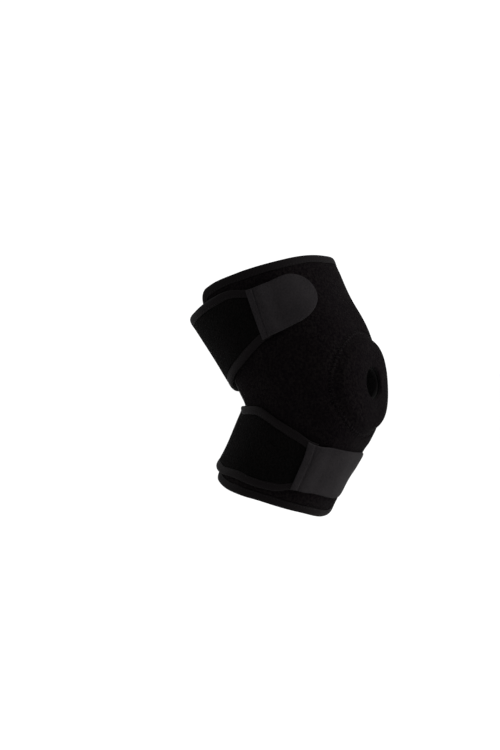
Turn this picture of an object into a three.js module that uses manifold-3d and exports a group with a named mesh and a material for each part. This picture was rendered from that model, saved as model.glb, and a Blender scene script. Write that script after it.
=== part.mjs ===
// Wrap-around knee support with an open kneecap, in the shape that it has on a bent leg. Millimetres.
// +Z is up, the kneecap faces -Y, the outer side of the leg faces -X, and the origin is the middle of
// the knee. Every piece is laid out on the form of the leg: a point is given by its place along the
// bent middle line of the leg, its angle round that line (0 at the front, 90 at the outer side, 180 at
// the back) and its height above the surface.

import * as THREE from 'three';
import { mergeVertices } from 'three/addons/utils/BufferGeometryUtils.js';
import Module from 'manifold-3d';

// Form of the leg
const THIGH_LEAN = 33;          // degrees that the thigh leans back from upright
const SHIN_LEAN = 27.5;         // degrees that the shin slopes back below the knee
const BEND_LENGTH = 110;        // length of the middle line that bends
const THIGH_REACH = 145;        // length of the form above the knee
const SHIN_REACH = 140;         // length of the form below the knee
const KNEE_HALF_WIDTH = 57;
const KNEE_FRONT_DEPTH = 66;
const KNEE_BACK_DEPTH = 74;

// Panel
const PANEL_THICK = 4;
const PANEL_TOP = 138;          // length of the panel above the knee at the sides
const PANEL_BOTTOM = 115;       // length of the panel below the knee at the sides
const PANEL_INNER_END = -150;   // angle of the hidden inner end of the panel
const CORNER_RADIUS = 14;

// Binding tape
const TAPE_WIDTH = 8;
const TAPE_THICK = 0.6;
const TAPE_CLEARANCE = 0.3;     // between the tape and what it binds
const TAPE_RAMP = 1.2;          // where the cloth rises again beside the tape

// Kneecap hole and the pad round it
const KNEECAP_PLACE = 6;        // along the leg
const KNEECAP_ANGLE = 0;
const HOLE_TALL = 30;
const HOLE_WIDE = 29;
const PAD_TALL = 108;
const PAD_WIDE = 104;
const PAD_RISE = 6;
const PAD_HOLE_MARGIN = 0.8;
const PAD_GAP = 0.75;           // under the pad, whose facets cross those of the panel

// Straps
const LAYER_GAP = 0.45;         // between one layer of cloth and the next
const STRAP_THICK = 3.2;
const STRAP_START = 240;        // angle where both straps are sewn to the inner end of the panel
const BACK_STAND = 2.6;         // how far the straps stand off behind the leg
const BACK_STAND_MIDDLE = 182;  // angle where they stand off most
const BACK_STAND_SPREAD = 48;   // angle from there to where they lie on the panel again
const UPPER_STRAP_DROP = 40.5;  // from the top of the panel to the middle of the upper strap, behind
const UPPER_STRAP_WIDE = 87;
const LOWER_STRAP_RISE = 45;    // from the bottom of the panel to the middle of the lower strap, behind
const LOWER_STRAP_WIDE = 98;

// Hook tabs
const TAB_THICK = 1.8;
const TAB_LAP = 9;              // length of the strap end under the tab
const TAB_STEP = 5;             // length in which the tab steps down from the strap to the panel
const UPPER_TAB_REAR = 84.5;    // angles of the rear edge, of the last full width and of the tip
const UPPER_TAB_SHOULDER = 52;
const UPPER_TAB_TIP = 30.5;
const LOWER_TAB_REAR = 59.5;
const LOWER_TAB_SHOULDER = -12;
const LOWER_TAB_TIP = -38;
const TAB_END_TURN = 86;        // how far round its end a tab is curved before it ends straight

// How finely the faces are cut
const PANEL_COLUMNS = 40;
const PANEL_ROWS = 20;
const CORNER_STEPS = 4;
const STRAP_COLUMNS = 24;
const STRAP_ROWS = 5;
const TAB_COLUMNS = 8;
const TAB_END_COLUMNS = 5;
const TAB_ROWS = 5;
const RING_SIDES = 36;
const EDGE_STEPS = 16;
const NARROWEST = 0.4;          // least length for one unit of place that a step inside an edge uses

// Sections of the leg: place as a share of the reach, and widths and depths as shares of the knee's.
// The last two columns are how square the front and the back of the section are (2 is an ellipse).
const SECTIONS = [
  { at: -1.00, width: 0.965, front: 0.75, back: 1.00, squareFront: 2.2, squareBack: 2.0 },
  { at: -0.75, width: 0.965, front: 0.765, back: 0.91, squareFront: 2.2, squareBack: 2.0 },
  { at: -0.43, width: 0.955, front: 0.775, back: 0.91, squareFront: 2.3, squareBack: 2.0 },
  { at: -0.28, width: 0.965, front: 0.835, back: 0.915, squareFront: 2.5, squareBack: 2.05 },
  { at: -0.18, width: 0.975, front: 0.93, back: 0.93, squareFront: 2.7, squareBack: 2.1 },
  { at: 0.07, width: 1.000, front: 0.985, back: 1.02, squareFront: 3.0, squareBack: 2.1 },
  { at: 0.31, width: 1.035, front: 0.985, back: 1.05, squareFront: 2.8, squareBack: 2.1 },
  { at: 0.62, width: 1.105, front: 1.035, back: 1.08, squareFront: 2.4, squareBack: 2.0 },
  { at: 1.00, width: 1.210, front: 1.17, back: 1.135, squareFront: 2.2, squareBack: 2.0 },
];

// Rims of the panel by angle, as shares of its length above and below the knee
const RIMS = [
  { at: -150, top: 1.12, bottom: 1.08 },
  { at: -110, top: 1.045, bottom: 1.025 },
  { at: -60, top: 0.93, bottom: 0.965 },
  { at: 0, top: 0.853, bottom: 0.957 },
  { at: 40, top: 0.885, bottom: 0.922 },
  { at: 80, top: 0.978, bottom: 0.965 },
  { at: 105, top: 1.036, bottom: 1.03 },
  { at: 130, top: 1.06, bottom: 1.085 },
  { at: 160, top: 1.09, bottom: 1.105 },
];

// Angle of the free back edge, by place as a share of the panel's length above or below the knee
const BACK_EDGE = [
  { at: -1.1, angle: 156 },
  { at: -0.5, angle: 157 },
  { at: 0, angle: 168 },
  { at: 0.3, angle: 160 },
  { at: 0.65, angle: 138 },
  { at: 1.06, angle: 124 },
];

// Straps by angle: place and width as shares of those behind the leg. Lean turns a cross line of the
// strap, in degrees of angle for each millimetre along the leg.
const UPPER_STRAP = [
  { at: 25, place: 0.815, width: 0.58, lean: -0.07 },
  { at: 48, place: 0.84, width: 0.59, lean: -0.1 },
  { at: 68, place: 0.865, width: 0.585, lean: -0.15 },
  { at: 84, place: 0.90, width: 0.60, lean: -0.19 },
  { at: 97, place: 0.945, width: 0.73, lean: -0.15 },
  { at: 120, place: 0.975, width: 0.86, lean: -0.05 },
  { at: 138, place: 0.995, width: 0.92, lean: 0 },
  { at: 156, place: 1.01, width: 0.99, lean: 0 },
  { at: 180, place: 1.00, width: 1.00, lean: 0 },
  { at: 210, place: 0.97, width: 0.97, lean: 0 },
  { at: 240, place: 0.925, width: 0.92, lean: 0 },
];
const LOWER_STRAP = [
  { at: -45, place: 0.92, width: 0.50, lean: 0 },
  { at: -12, place: 0.91, width: 0.50, lean: 0 },
  { at: 41, place: 0.84, width: 0.48, lean: 0 },
  { at: 59, place: 0.85, width: 0.51, lean: 0 },
  { at: 68, place: 0.875, width: 0.605, lean: 0 },
  { at: 85, place: 0.893, width: 0.714, lean: 0 },
  { at: 97, place: 0.893, width: 0.786, lean: 0 },
  { at: 119, place: 0.864, width: 0.94, lean: 0 },
  { at: 147, place: 0.975, width: 1.01, lean: 0 },
  { at: 180, place: 1.02, width: 0.98, lean: 0 },
  { at: 210, place: 0.98, width: 0.92, lean: 0 },
  { at: 240, place: 0.92, width: 0.81, lean: 0 },
];

// Pad from the hole to its outer edge: share of the way, and height as a share of the rise
const PAD_PROFILE = [
  { at: 0, height: 0.64 },
  { at: 0.2, height: 0.82 },
  { at: 0.55, height: 1 },
  { at: 0.74, height: 0.82 },
  { at: 0.89, height: 0.22 },
  { at: 1, height: 0.1 },
];

const radians = THREE.MathUtils.degToRad;
const lerp = THREE.MathUtils.lerp;

// Value of a column of a table at a place, on a smooth curve through its rows
function read(table, column, place) {
  const last = table.length - 1;
  let i = 0;
  while (i < last - 1 && place > table[i + 1].at) i += 1;
  const slope = (k) => (table[k + 1][column] - table[k][column]) / (table[k + 1].at - table[k].at);
  const tangent = (k) => {
    if (k === 0) return slope(0);
    if (k === last) return slope(last - 1);
    const before = table[k].at - table[k - 1].at;
    const after = table[k + 1].at - table[k].at;
    return (slope(k - 1) * after + slope(k) * before) / (before + after);
  };
  const span = table[i + 1].at - table[i].at;
  const t = THREE.MathUtils.clamp((place - table[i].at) / span, 0, 1);
  const t2 = t * t;
  const t3 = t2 * t;
  const curve = (2 * t3 - 3 * t2 + 1) * table[i][column] + (t3 - 2 * t2 + t) * span * tangent(i)
    + (3 * t2 - 2 * t3) * table[i + 1][column] + (t3 - t2) * span * tangent(i + 1);
  const past = place - THREE.MathUtils.clamp(place, table[0].at, table[last].at);
  return curve + past * tangent(past < 0 ? 0 : last);
}

// Middle line of the leg: the shin's line, an arc at the knee, and the thigh's line
function legLine(place) {
  const bend = radians(THIGH_LEAN + SHIN_LEAN) / BEND_LENGTH;
  const middle = radians(THIGH_LEAN - SHIN_LEAN) / 2;
  const inArc = THREE.MathUtils.clamp(place, -BEND_LENGTH / 2, BEND_LENGTH / 2);
  const tilt = middle + bend * inArc;
  const beyond = place - inArc;
  return {
    y: (Math.cos(middle) - Math.cos(tilt)) / bend + beyond * Math.sin(tilt),
    z: (Math.sin(tilt) - Math.sin(middle)) / bend + beyond * Math.cos(tilt),
    tilt,
  };
}

// Point on the surface of the leg, whose sections are rounded ovals
function legSurface(place, angle) {
  const share = place / (place > 0 ? THIGH_REACH : SHIN_REACH);
  const { y, z, tilt } = legLine(place);
  const side = Math.sin(radians(angle));
  const ahead = Math.cos(radians(angle));
  const half = ahead > 0 ? 'Front' : 'Back';
  const depth = ahead > 0 ? KNEE_FRONT_DEPTH : KNEE_BACK_DEPTH;
  const square = read(SECTIONS, `square${half}`, share);
  const wide = KNEE_HALF_WIDTH * read(SECTIONS, 'width', share);
  const deep = depth * read(SECTIONS, half.toLowerCase(), share);
  const oval = Math.abs(side / wide) ** square + Math.abs(ahead / deep) ** square;
  const radius = oval ** (-1 / square);
  const forward = radius * ahead;
  return new THREE.Vector3(-radius * side, y - forward * Math.cos(tilt), z + forward * Math.sin(tilt));
}

// Steps along the surface for one unit of place and for one degree of angle
function legSteps(place, angle) {
  return {
    along: legSurface(place + 0.5, angle).sub(legSurface(place - 0.5, angle)),
    round: legSurface(place, angle + 0.5).sub(legSurface(place, angle - 0.5)),
  };
}

// Point at a height above the surface
function legPoint(place, angle, height) {
  const { along, round } = legSteps(place, angle);
  return legSurface(place, angle).addScaledVector(along.cross(round).normalize(), height);
}

// Millimetres for one unit of place and for one degree of angle, at mid height of the panel
function scaleAt(place, angle) {
  const height = PANEL_THICK / 2;
  const near = (dPlace, dAngle) => legPoint(place + dPlace, angle + dAngle, height);
  return { along: near(0.5, 0).distanceTo(near(-0.5, 0)), round: near(0, 0.5).distanceTo(near(0, -0.5)) };
}

// Mesh from points and faces of three or four corners, turned so that its faces point out. A face of
// four is split from its first corner to its third. Near an edge, each layer is split from the edge
// inwards, so that the layers stay as far apart in the middle of a face as at its corners.
function solid(points, faces) {
  const position = points.flatMap((p) => [p.x, p.y, p.z]);
  const index = faces.flatMap(([a, b, c, d]) => (d === undefined ? [a, b, c] : [a, b, c, a, c, d]));
  let volume = 0;
  for (let i = 0; i < index.length; i += 3) {
    const [a, b, c] = index.slice(i, i + 3).map((k) => points[k]);
    volume += a.dot(b.clone().cross(c));
  }
  if (volume < 0) index.reverse();
  const geometry = new THREE.BufferGeometry();
  geometry.setAttribute('position', new THREE.Float32BufferAttribute(position, 3));
  geometry.setIndex(index);
  return geometry;
}

// Solid between two sheets of points, given as rows of [place, angle, bottom height, top height]
function sheet(rows) {
  const count = rows[0].length;
  const flat = rows.flat();
  const points = [2, 3].flatMap((side) => flat.map((spot) => legPoint(spot[0], spot[1], spot[side])));
  const at = (row, column, side) => side * flat.length + row * count + column;
  const faces = [];
  for (let r = 0; r + 1 < rows.length; r += 1) {
    for (let c = 0; c + 1 < count; c += 1) {
      const corners = [[r, c], [r, c + 1], [r + 1, c + 1], [r + 1, c]];
      if (c >= count / 2) corners.push(corners.shift());
      const [first, ...others] = corners;
      faces.push([first, ...others].map((corner) => at(...corner, 0)));
      faces.push([first, ...others.reverse()].map((corner) => at(...corner, 1)));
    }
  }
  const rim = [];
  for (let c = 0; c < count - 1; c += 1) rim.push([0, c]);
  for (let r = 0; r < rows.length - 1; r += 1) rim.push([r, count - 1]);
  for (let c = count - 1; c > 0; c -= 1) rim.push([rows.length - 1, c]);
  for (let r = rows.length - 1; r > 0; r -= 1) rim.push([r, 0]);
  rim.forEach(([r, c], i) => {
    const [nextRow, nextColumn] = rim[(i + 1) % rim.length];
    faces.push([at(r, c, 1), at(nextRow, nextColumn, 1), at(nextRow, nextColumn, 0), at(r, c, 0)]);
  });
  return solid(points, faces);
}

// Solid of closed outlines joined one to the next, either into a ring or with its two ends capped.
// Each outline has the same number of points, caps lists the faces that close an end, and turned the
// places in the outline whose faces are split the other way.
function carried(outlines, caps, turned = []) {
  const size = outlines[0].length;
  const count = outlines.length;
  const faces = [];
  const joins = caps ? count - 1 : count;
  for (let i = 0; i < joins; i += 1) {
    const next = (i + 1) % count;
    for (let k = 0; k < size; k += 1) {
      const after = (k + 1) % size;
      const corners = [i * size + k, i * size + after, next * size + after, next * size + k];
      if (turned.includes(k)) corners.push(corners.shift());
      faces.push(corners);
    }
  }
  if (caps) {
    for (const cap of caps) {
      faces.push([...cap].reverse());
      faces.push(cap.map((k) => (count - 1) * size + k));
    }
  }
  return solid(outlines.flat(), faces);
}

// Tape folded over an edge: a C-shaped section whose two legs lie in the thinned edge of the cloth.
// inset(distance) gives [place, angle] that far inside the edge, or outside it where negative.
function tapeSection(inset, bottom, top) {
  const legPlaces = [
    [TAPE_WIDTH, top],
    [-TAPE_CLEARANCE - TAPE_THICK, top],
    [-TAPE_CLEARANCE - TAPE_THICK, bottom],
    [TAPE_WIDTH, bottom],
    [TAPE_WIDTH, bottom + TAPE_THICK],
    [-TAPE_CLEARANCE, bottom + TAPE_THICK],
    [-TAPE_CLEARANCE, top - TAPE_THICK],
    [TAPE_WIDTH, top - TAPE_THICK],
  ];
  return legPlaces.map(([distance, height]) => legPoint(...inset(distance), height));
}
const TAPE_CAPS = [[7, 0, 1, 6], [6, 1, 2, 5], [5, 2, 3, 4]];
const TAPE_TURNED = [0, 4];
const THINNED = TAPE_THICK + TAPE_CLEARANCE;
const TAPE_BAND = TAPE_WIDTH + TAPE_CLEARANCE;

// Rims and side edges of the panel
function rimPlace(side, angle) {
  return side > 0 ? PANEL_TOP * read(RIMS, 'top', angle) : -PANEL_BOTTOM * read(RIMS, 'bottom', angle);
}
function edgeAngle(atBack, place) {
  return atBack ? read(BACK_EDGE, 'angle', place / (place > 0 ? PANEL_TOP : PANEL_BOTTOM)) : PANEL_INNER_END;
}

// Rounded corner of the panel: turn 0 is where the corner meets the side edge, 90 where it meets the rim
function cornerPoint(side, atBack, turn) {
  let angle = edgeAngle(atBack, rimPlace(side, edgeAngle(atBack, 0)));
  for (let i = 0; i < 5; i += 1) angle = edgeAngle(atBack, rimPlace(side, angle));
  const place = rimPlace(side, angle);
  const scale = scaleAt(place, angle);
  const inward = atBack ? -1 : 1;
  const down = side * CORNER_RADIUS * (1 - Math.sin(radians(turn))) / scale.along;
  const across = inward * CORNER_RADIUS * (1 - Math.cos(radians(turn))) / scale.round;
  return [rimPlace(side, angle + across) - down, edgeAngle(atBack, place - down) + across];
}

// Half of a corner: from its middle to the side edge, or from its middle to the rim
function halfCorner(side, atBack, toRim) {
  const middle = CORNER_STEPS / 2;
  return Array.from({ length: middle + 1 }, (_, i) => (
    cornerPoint(side, atBack, (90 * (toRim ? middle + i : middle - i)) / CORNER_STEPS)));
}

// One side of the panel's outline, from the middle of one corner to the middle of the next
function edgeSpots(atBack) {
  const low = halfCorner(-1, atBack, false);
  const high = halfCorner(1, atBack, false).reverse();
  const steps = PANEL_ROWS - CORNER_STEPS;
  const between = [];
  for (let i = 1; i < steps; i += 1) {
    const place = lerp(low.at(-1)[0], high[0][0], i / steps);
    between.push([place, edgeAngle(atBack, place)]);
  }
  return [...low, ...between, ...high];
}
function rimSpots(side) {
  const back = halfCorner(side, true, true);
  const inner = halfCorner(side, false, true).reverse();
  const steps = PANEL_COLUMNS - CORNER_STEPS;
  const between = [];
  for (let i = 1; i < steps; i += 1) {
    const angle = lerp(back.at(-1)[1], inner[0][1], i / steps);
    between.push([rimPlace(side, angle), angle]);
  }
  return [...back, ...between, ...inner];
}

// Outline of the panel as one loop: up the back edge, along the top, down the inner end and back
function panelOutline() {
  const sides = [edgeSpots(true), rimSpots(1), edgeSpots(false).reverse(), rimSpots(-1).reverse()];
  return sides.flatMap((spots) => spots.slice(0, -1));
}

// Function that gives the [place, angle] at a distance inside a spot of the loop
function insetOf(loop, i) {
  const [place, angle] = loop[i];
  const scale = scaleAt(place, angle);
  const before = loop[(i + loop.length - 1) % loop.length];
  const after = loop[(i + 1) % loop.length];
  const run = (after[0] - before[0]) * scale.along;
  const turn = (before[1] - after[1]) * scale.round;
  const length = Math.hypot(run, turn);
  return (distance) => [
    place - (distance * turn) / length / scale.along,
    angle - (distance * run) / length / scale.round,
  ];
}

// Grid of spots inside a loop, each worked out from the four sides around it
function gridInside(loop) {
  const rows = PANEL_ROWS;
  const columns = PANEL_COLUMNS;
  const left = (r) => loop[r];
  const top = (c) => loop[rows + c];
  const right = (r) => loop[rows + columns + (rows - r)];
  const bottom = (c) => loop[(2 * rows + columns + (columns - c)) % loop.length];
  const grid = [];
  for (let r = 0; r <= rows; r += 1) {
    const v = r / rows;
    const line = [];
    for (let c = 0; c <= columns; c += 1) {
      const u = c / columns;
      line.push([0, 1].map((k) => lerp(left(r)[k], right(r)[k], u) + lerp(bottom(c)[k], top(c)[k], v)
        - lerp(lerp(left(0)[k], right(0)[k], u), lerp(left(rows)[k], right(rows)[k], u), v)));
    }
    grid.push(line);
  }
  return grid;
}

function wrapPanel() {
  const loop = panelOutline();
  const rings = [0, TAPE_BAND, TAPE_BAND + TAPE_RAMP].map((distance) => (
    loop.map((spot, i) => insetOf(loop, i)(distance))));
  const grid = gridInside(rings[2]);
  const count = loop.length;
  const thinHeights = [THINNED, PANEL_THICK - THINNED];
  const points = [];
  const faces = [];
  const ringStart = (ring, side) => (ring * 2 + side) * count;
  for (const ring of [0, 1]) {
    for (const height of thinHeights) points.push(...rings[ring].map((spot) => legPoint(...spot, height)));
  }
  const gridStart = [];
  for (const side of [0, 1]) {
    gridStart.push(points.length);
    points.push(...grid.flat().map((spot) => legPoint(...spot, side * PANEL_THICK)));
  }
  const gridIndex = (r, c, side) => gridStart[side] + r * (PANEL_COLUMNS + 1) + c;
  const innerRing = (i, side) => {
    const k = i % count;
    if (k <= PANEL_ROWS) return gridIndex(k, 0, side);
    if (k <= PANEL_ROWS + PANEL_COLUMNS) return gridIndex(PANEL_ROWS, k - PANEL_ROWS, side);
    if (k <= 2 * PANEL_ROWS + PANEL_COLUMNS) {
      return gridIndex(2 * PANEL_ROWS + PANEL_COLUMNS - k, PANEL_COLUMNS, side);
    }
    return gridIndex(0, count - k, side);
  };
  const quad = (side, a, b, c, d) => faces.push(side ? [a, b, c, d] : [a, d, c, b]);
  for (const side of [0, 1]) {
    for (let i = 0; i < count; i += 1) {
      const next = (i + 1) % count;
      const outer = ringStart(0, side);
      const band = ringStart(1, side);
      quad(side, outer + i, outer + next, band + next, band + i);
      quad(side, band + i, band + next, innerRing(next, side), innerRing(i, side));
    }
    for (let r = 0; r < PANEL_ROWS; r += 1) {
      for (let c = 0; c < PANEL_COLUMNS; c += 1) {
        const corners = [[r, c], [r + 1, c], [r + 1, c + 1], [r, c + 1]];
        quad(side, ...corners.map(([row, column]) => gridIndex(row, column, side)));
      }
    }
  }
  for (let i = 0; i < count; i += 1) {
    const next = (i + 1) % count;
    faces.push([ringStart(0, 0) + i, ringStart(0, 0) + next, ringStart(0, 1) + next, ringStart(0, 1) + i]);
  }
  return cut(solid(points, faces), kneecapPlug());
}

function panelBinding() {
  const loop = panelOutline();
  return carried(loop.map((spot, i) => tapeSection(insetOf(loop, i), 0, PANEL_THICK)), null, TAPE_TURNED);
}

// Spot on an oval round the kneecap, with its size given in millimetres
function kneecapSpot(tall, wide, turn) {
  const scale = scaleAt(KNEECAP_PLACE, KNEECAP_ANGLE);
  return [
    KNEECAP_PLACE + (tall / 2 / scale.along) * Math.sin(turn),
    KNEECAP_ANGLE + (wide / 2 / scale.round) * Math.cos(turn),
  ];
}
function aroundKneecap(make) {
  return Array.from({ length: RING_SIDES }, (_, i) => make((2 * Math.PI * i) / RING_SIDES));
}

// Plug that cuts the hole of the panel
function kneecapPlug() {
  const reach = 2 * PANEL_THICK;
  const outlines = [-reach, 0, PANEL_THICK, PANEL_THICK + reach].map((height) => (
    aroundKneecap((turn) => legPoint(...kneecapSpot(HOLE_TALL, HOLE_WIDE, turn), height))));
  return carried(outlines, Array.from({ length: RING_SIDES - 2 }, (_, i) => [0, i + 1, i + 2]));
}

function kneecapPad() {
  const base = PANEL_THICK + PAD_GAP;
  return carried(aroundKneecap((turn) => {
    const spotAt = (share) => kneecapSpot(
      lerp(HOLE_TALL + 2 * PAD_HOLE_MARGIN, PAD_TALL, share),
      lerp(HOLE_WIDE + 2 * PAD_HOLE_MARGIN, PAD_WIDE, share),
      turn,
    );
    const top = PAD_PROFILE.map(({ at, height }) => legPoint(...spotAt(at), base + PAD_RISE * height));
    const underside = PAD_PROFILE.map(({ at }) => legPoint(...spotAt(at), base)).reverse();
    return [...top, ...underside];
  }));
}

// Place, edges and lean of a strap at an angle
function strapAt(strap, angle) {
  const place = strap.place * read(strap.table, 'place', angle);
  const half = (strap.wide * read(strap.table, 'width', angle)) / 2;
  const lean = read(strap.table, 'lean', angle);
  return { place, half, spot: (at) => [at, angle + lean * (at - place)] };
}

// Height of the underside of a strap: on the panel, and standing off behind the leg
function strapBase(angle) {
  const fromBack = THREE.MathUtils.clamp((angle - BACK_STAND_MIDDLE) / BACK_STAND_SPREAD, -1, 1);
  return PANEL_THICK + LAYER_GAP + BACK_STAND * Math.cos((fromBack * Math.PI) / 2) ** 2;
}

// Degrees round the leg that are a length in millimetres at the middle of a strap
function degreesFor(strap, angle, length) {
  return length / scaleAt(strapAt(strap, angle).place, angle).round;
}

function strapAngles(strap) {
  const end = strap.rear - degreesFor(strap, strap.rear, TAB_LAP);
  return Array.from({ length: STRAP_COLUMNS + 1 }, (_, i) => lerp(STRAP_START, end, i / STRAP_COLUMNS));
}

// Place at a distance inside the high edge (side 1) or the low edge (side -1) of a strap, or outside it
// where the distance is negative. It goes in short steps, because the form narrows fast behind the knee.
function insideEdge(strap, angle, side, distance) {
  const { place, half, spot } = strapAt(strap, angle);
  const height = strapBase(angle) + STRAP_THICK / 2;
  const pointAt = (at) => legPoint(...spot(at), height);
  let at = place + side * half;
  for (let i = 0; i < EDGE_STEPS; i += 1) {
    const scale = pointAt(at + 0.5).distanceTo(pointAt(at - 0.5));
    at -= (side * distance) / EDGE_STEPS / Math.max(scale, NARROWEST);
  }
  return at;
}

function strapBody(strap) {
  const columns = strapAngles(strap).map((angle) => {
    const { place, half, spot } = strapAt(strap, angle);
    const base = strapBase(angle);
    const inside = (side, distance) => insideEdge(strap, angle, side, distance);
    const thin = (at) => [...spot(at), base + THINNED, base + STRAP_THICK - THINNED];
    const full = (at) => [...spot(at), base, base + STRAP_THICK];
    const lowFull = inside(-1, TAPE_BAND + TAPE_RAMP);
    const highFull = inside(1, TAPE_BAND + TAPE_RAMP);
    const middle = Array.from({ length: STRAP_ROWS + 1 }, (_, i) => full(lerp(lowFull, highFull, i / STRAP_ROWS)));
    const lowEdge = [thin(place - half), thin(inside(-1, TAPE_BAND))];
    const highEdge = [thin(inside(1, TAPE_BAND)), thin(place + half)];
    return [...lowEdge, ...middle, ...highEdge];
  });
  return sheet(columns);
}

// Tape on the high edge (side 1) or the low edge (side -1) of a strap
function strapBinding(strap, side) {
  return carried(strapAngles(strap).map((angle) => {
    const { spot } = strapAt(strap, angle);
    const base = strapBase(angle);
    return tapeSection((distance) => spot(insideEdge(strap, angle, side, distance)), base, base + STRAP_THICK);
  }), TAPE_CAPS, TAPE_TURNED);
}

// Tab sewn over the end of a strap: it steps down to the panel and has a rounded end
function hookTab(strap) {
  const strapEnd = strap.rear - degreesFor(strap, strap.rear, TAB_LAP);
  const stepEnd = strapEnd - degreesFor(strap, strapEnd, TAB_STEP);
  const justPast = strapEnd - degreesFor(strap, strapEnd, LAYER_GAP);
  const onPanel = PANEL_THICK + LAYER_GAP;
  const onStrap = onPanel + STRAP_THICK + LAYER_GAP;
  const columns = [
    [strap.rear, onStrap],
    [lerp(strap.rear, justPast, 0.5), onStrap],
    [justPast, onStrap],
    [stepEnd, onPanel],
  ];
  for (let i = 1; i <= TAB_COLUMNS; i += 1) {
    columns.push([lerp(stepEnd, strap.shoulder, i / TAB_COLUMNS), onPanel]);
  }
  for (let i = 1; i <= TAB_END_COLUMNS; i += 1) {
    const turn = radians((TAB_END_TURN * i) / TAB_END_COLUMNS);
    columns.push([lerp(strap.shoulder, strap.tip, Math.sin(turn)), onPanel, Math.cos(turn)]);
  }
  return sheet(columns.map(([angle, base, share = 1]) => {
    const { place, half, spot } = strapAt(strap, angle);
    return Array.from({ length: TAB_ROWS + 1 }, (_, i) => (
      [...spot(place + half * share * lerp(-1, 1, i / TAB_ROWS)), base, base + TAB_THICK]));
  }));
}

const wasm = await Module();
wasm.setup();

// Closed mesh as a solid that can be cut, and back again
function toManifold(geometry) {
  const merged = mergeVertices(geometry);
  return new wasm.Manifold(new wasm.Mesh({
    numProp: 3,
    vertProperties: Float32Array.from(merged.attributes.position.array),
    triVerts: Uint32Array.from(merged.index.array),
  }));
}
function cut(geometry, tool) {
  const result = toManifold(geometry).subtract(toManifold(tool)).getMesh();
  const left = new THREE.BufferGeometry();
  left.setAttribute('position', new THREE.Float32BufferAttribute(result.vertProperties, 3));
  left.setIndex(Array.from(result.triVerts));
  return left;
}

const neoprene = () => new THREE.MeshStandardMaterial({ color: 0x0e0c0d, roughness: 0.9, metalness: 0 });
const tape = () => new THREE.MeshStandardMaterial({ color: 0x181515, roughness: 0.8, metalness: 0 });
const hookFabric = () => new THREE.MeshStandardMaterial({ color: 0x232121, roughness: 0.85, metalness: 0 });

const upperStrap = {
  table: UPPER_STRAP,
  place: PANEL_TOP - UPPER_STRAP_DROP,
  wide: UPPER_STRAP_WIDE,
  rear: UPPER_TAB_REAR,
  shoulder: UPPER_TAB_SHOULDER,
  tip: UPPER_TAB_TIP,
};
const lowerStrap = {
  table: LOWER_STRAP,
  place: LOWER_STRAP_RISE - PANEL_BOTTOM,
  wide: LOWER_STRAP_WIDE,
  rear: LOWER_TAB_REAR,
  shoulder: LOWER_TAB_SHOULDER,
  tip: LOWER_TAB_TIP,
};

const support = new THREE.Group();
function add(name, geometry, material) {
  const mesh = new THREE.Mesh(geometry, material);
  mesh.name = name;
  support.add(mesh);
}

add('wrap_panel', wrapPanel(), neoprene());
add('panel_binding', panelBinding(), tape());
add('kneecap_pad', kneecapPad(), neoprene());
for (const [name, strap] of [['upper', upperStrap], ['lower', lowerStrap]]) {
  add(`${name}_strap`, strapBody(strap), neoprene());
  add(`${name}_strap_high_binding`, strapBinding(strap, 1), tape());
  add(`${name}_strap_low_binding`, strapBinding(strap, -1), tape());
  add(`${name}_hook_tab`, hookTab(strap), hookFabric());
}

export default support;
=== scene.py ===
"""Looks of a wrap-around knee support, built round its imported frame.

Every piece is laid out on the form of a bent leg, as the CAD solids are: a point is given by its place
along the bent middle line of the leg, its angle round that line (0 at the front, 90 at the outer side,
180 at the back) and its height above the surface. Those lengths are in millimetres, and a mesh gets
them in metres.
"""

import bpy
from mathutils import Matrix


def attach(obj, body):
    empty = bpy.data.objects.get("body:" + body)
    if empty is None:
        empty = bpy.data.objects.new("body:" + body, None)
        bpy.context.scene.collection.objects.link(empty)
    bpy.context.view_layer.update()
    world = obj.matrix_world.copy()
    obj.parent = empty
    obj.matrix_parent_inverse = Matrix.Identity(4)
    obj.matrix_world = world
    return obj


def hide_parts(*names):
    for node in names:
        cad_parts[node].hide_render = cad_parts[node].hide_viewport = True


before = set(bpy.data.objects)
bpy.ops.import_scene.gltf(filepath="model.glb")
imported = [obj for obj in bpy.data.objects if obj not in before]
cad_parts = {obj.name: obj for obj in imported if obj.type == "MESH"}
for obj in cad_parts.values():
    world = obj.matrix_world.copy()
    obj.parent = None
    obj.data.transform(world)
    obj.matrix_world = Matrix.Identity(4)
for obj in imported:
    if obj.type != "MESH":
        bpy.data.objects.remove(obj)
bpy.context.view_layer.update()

import logging
import math
from dataclasses import dataclass, field
from enum import Enum
from typing import NamedTuple, Sequence

import bpy
import numpy as np
from mathutils import Vector

log = logging.getLogger("knee_support")

Array = np.ndarray
Inputs = dict[str | int, object]

MM = 0.001
BODY = "root"


class Face(Enum):
    """Which face of the cloth a strip of a mesh is, and so which of its finishes it takes."""

    OUTER = 0
    LINING = 1
    CUT = 2


class Edge(Enum):
    """Which long edge of a strap a tape binds."""

    HIGH = 1
    LOW = -1


class Section(NamedTuple):
    """Section of the leg: place as a share of the reach, then shares of the knee's sizes."""

    at: float
    width: float
    front: float
    back: float
    square_front: float
    square_back: float


class Rim(NamedTuple):
    """Rims of the panel at an angle, as shares of its length above and below the knee."""

    at: float
    top: float
    bottom: float


class BackEdge(NamedTuple):
    """Angle of the free back edge, by place as a share of the panel's length."""

    at: float
    angle: float


class StrapRow(NamedTuple):
    """Strap at an angle: shares of its place and width, and how its cross lines lean."""

    at: float
    place: float
    width: float
    lean: float


class Rise(NamedTuple):
    """Height of the pad at a share of the way from the hole to its edge."""

    at: float
    height: float


class Fold(NamedTuple):
    """Soft fold: where its middle is, how it runs, its half length and half width, and its height."""

    place: float
    angle: float
    turn: float
    length: float
    width: float
    height: float


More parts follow.
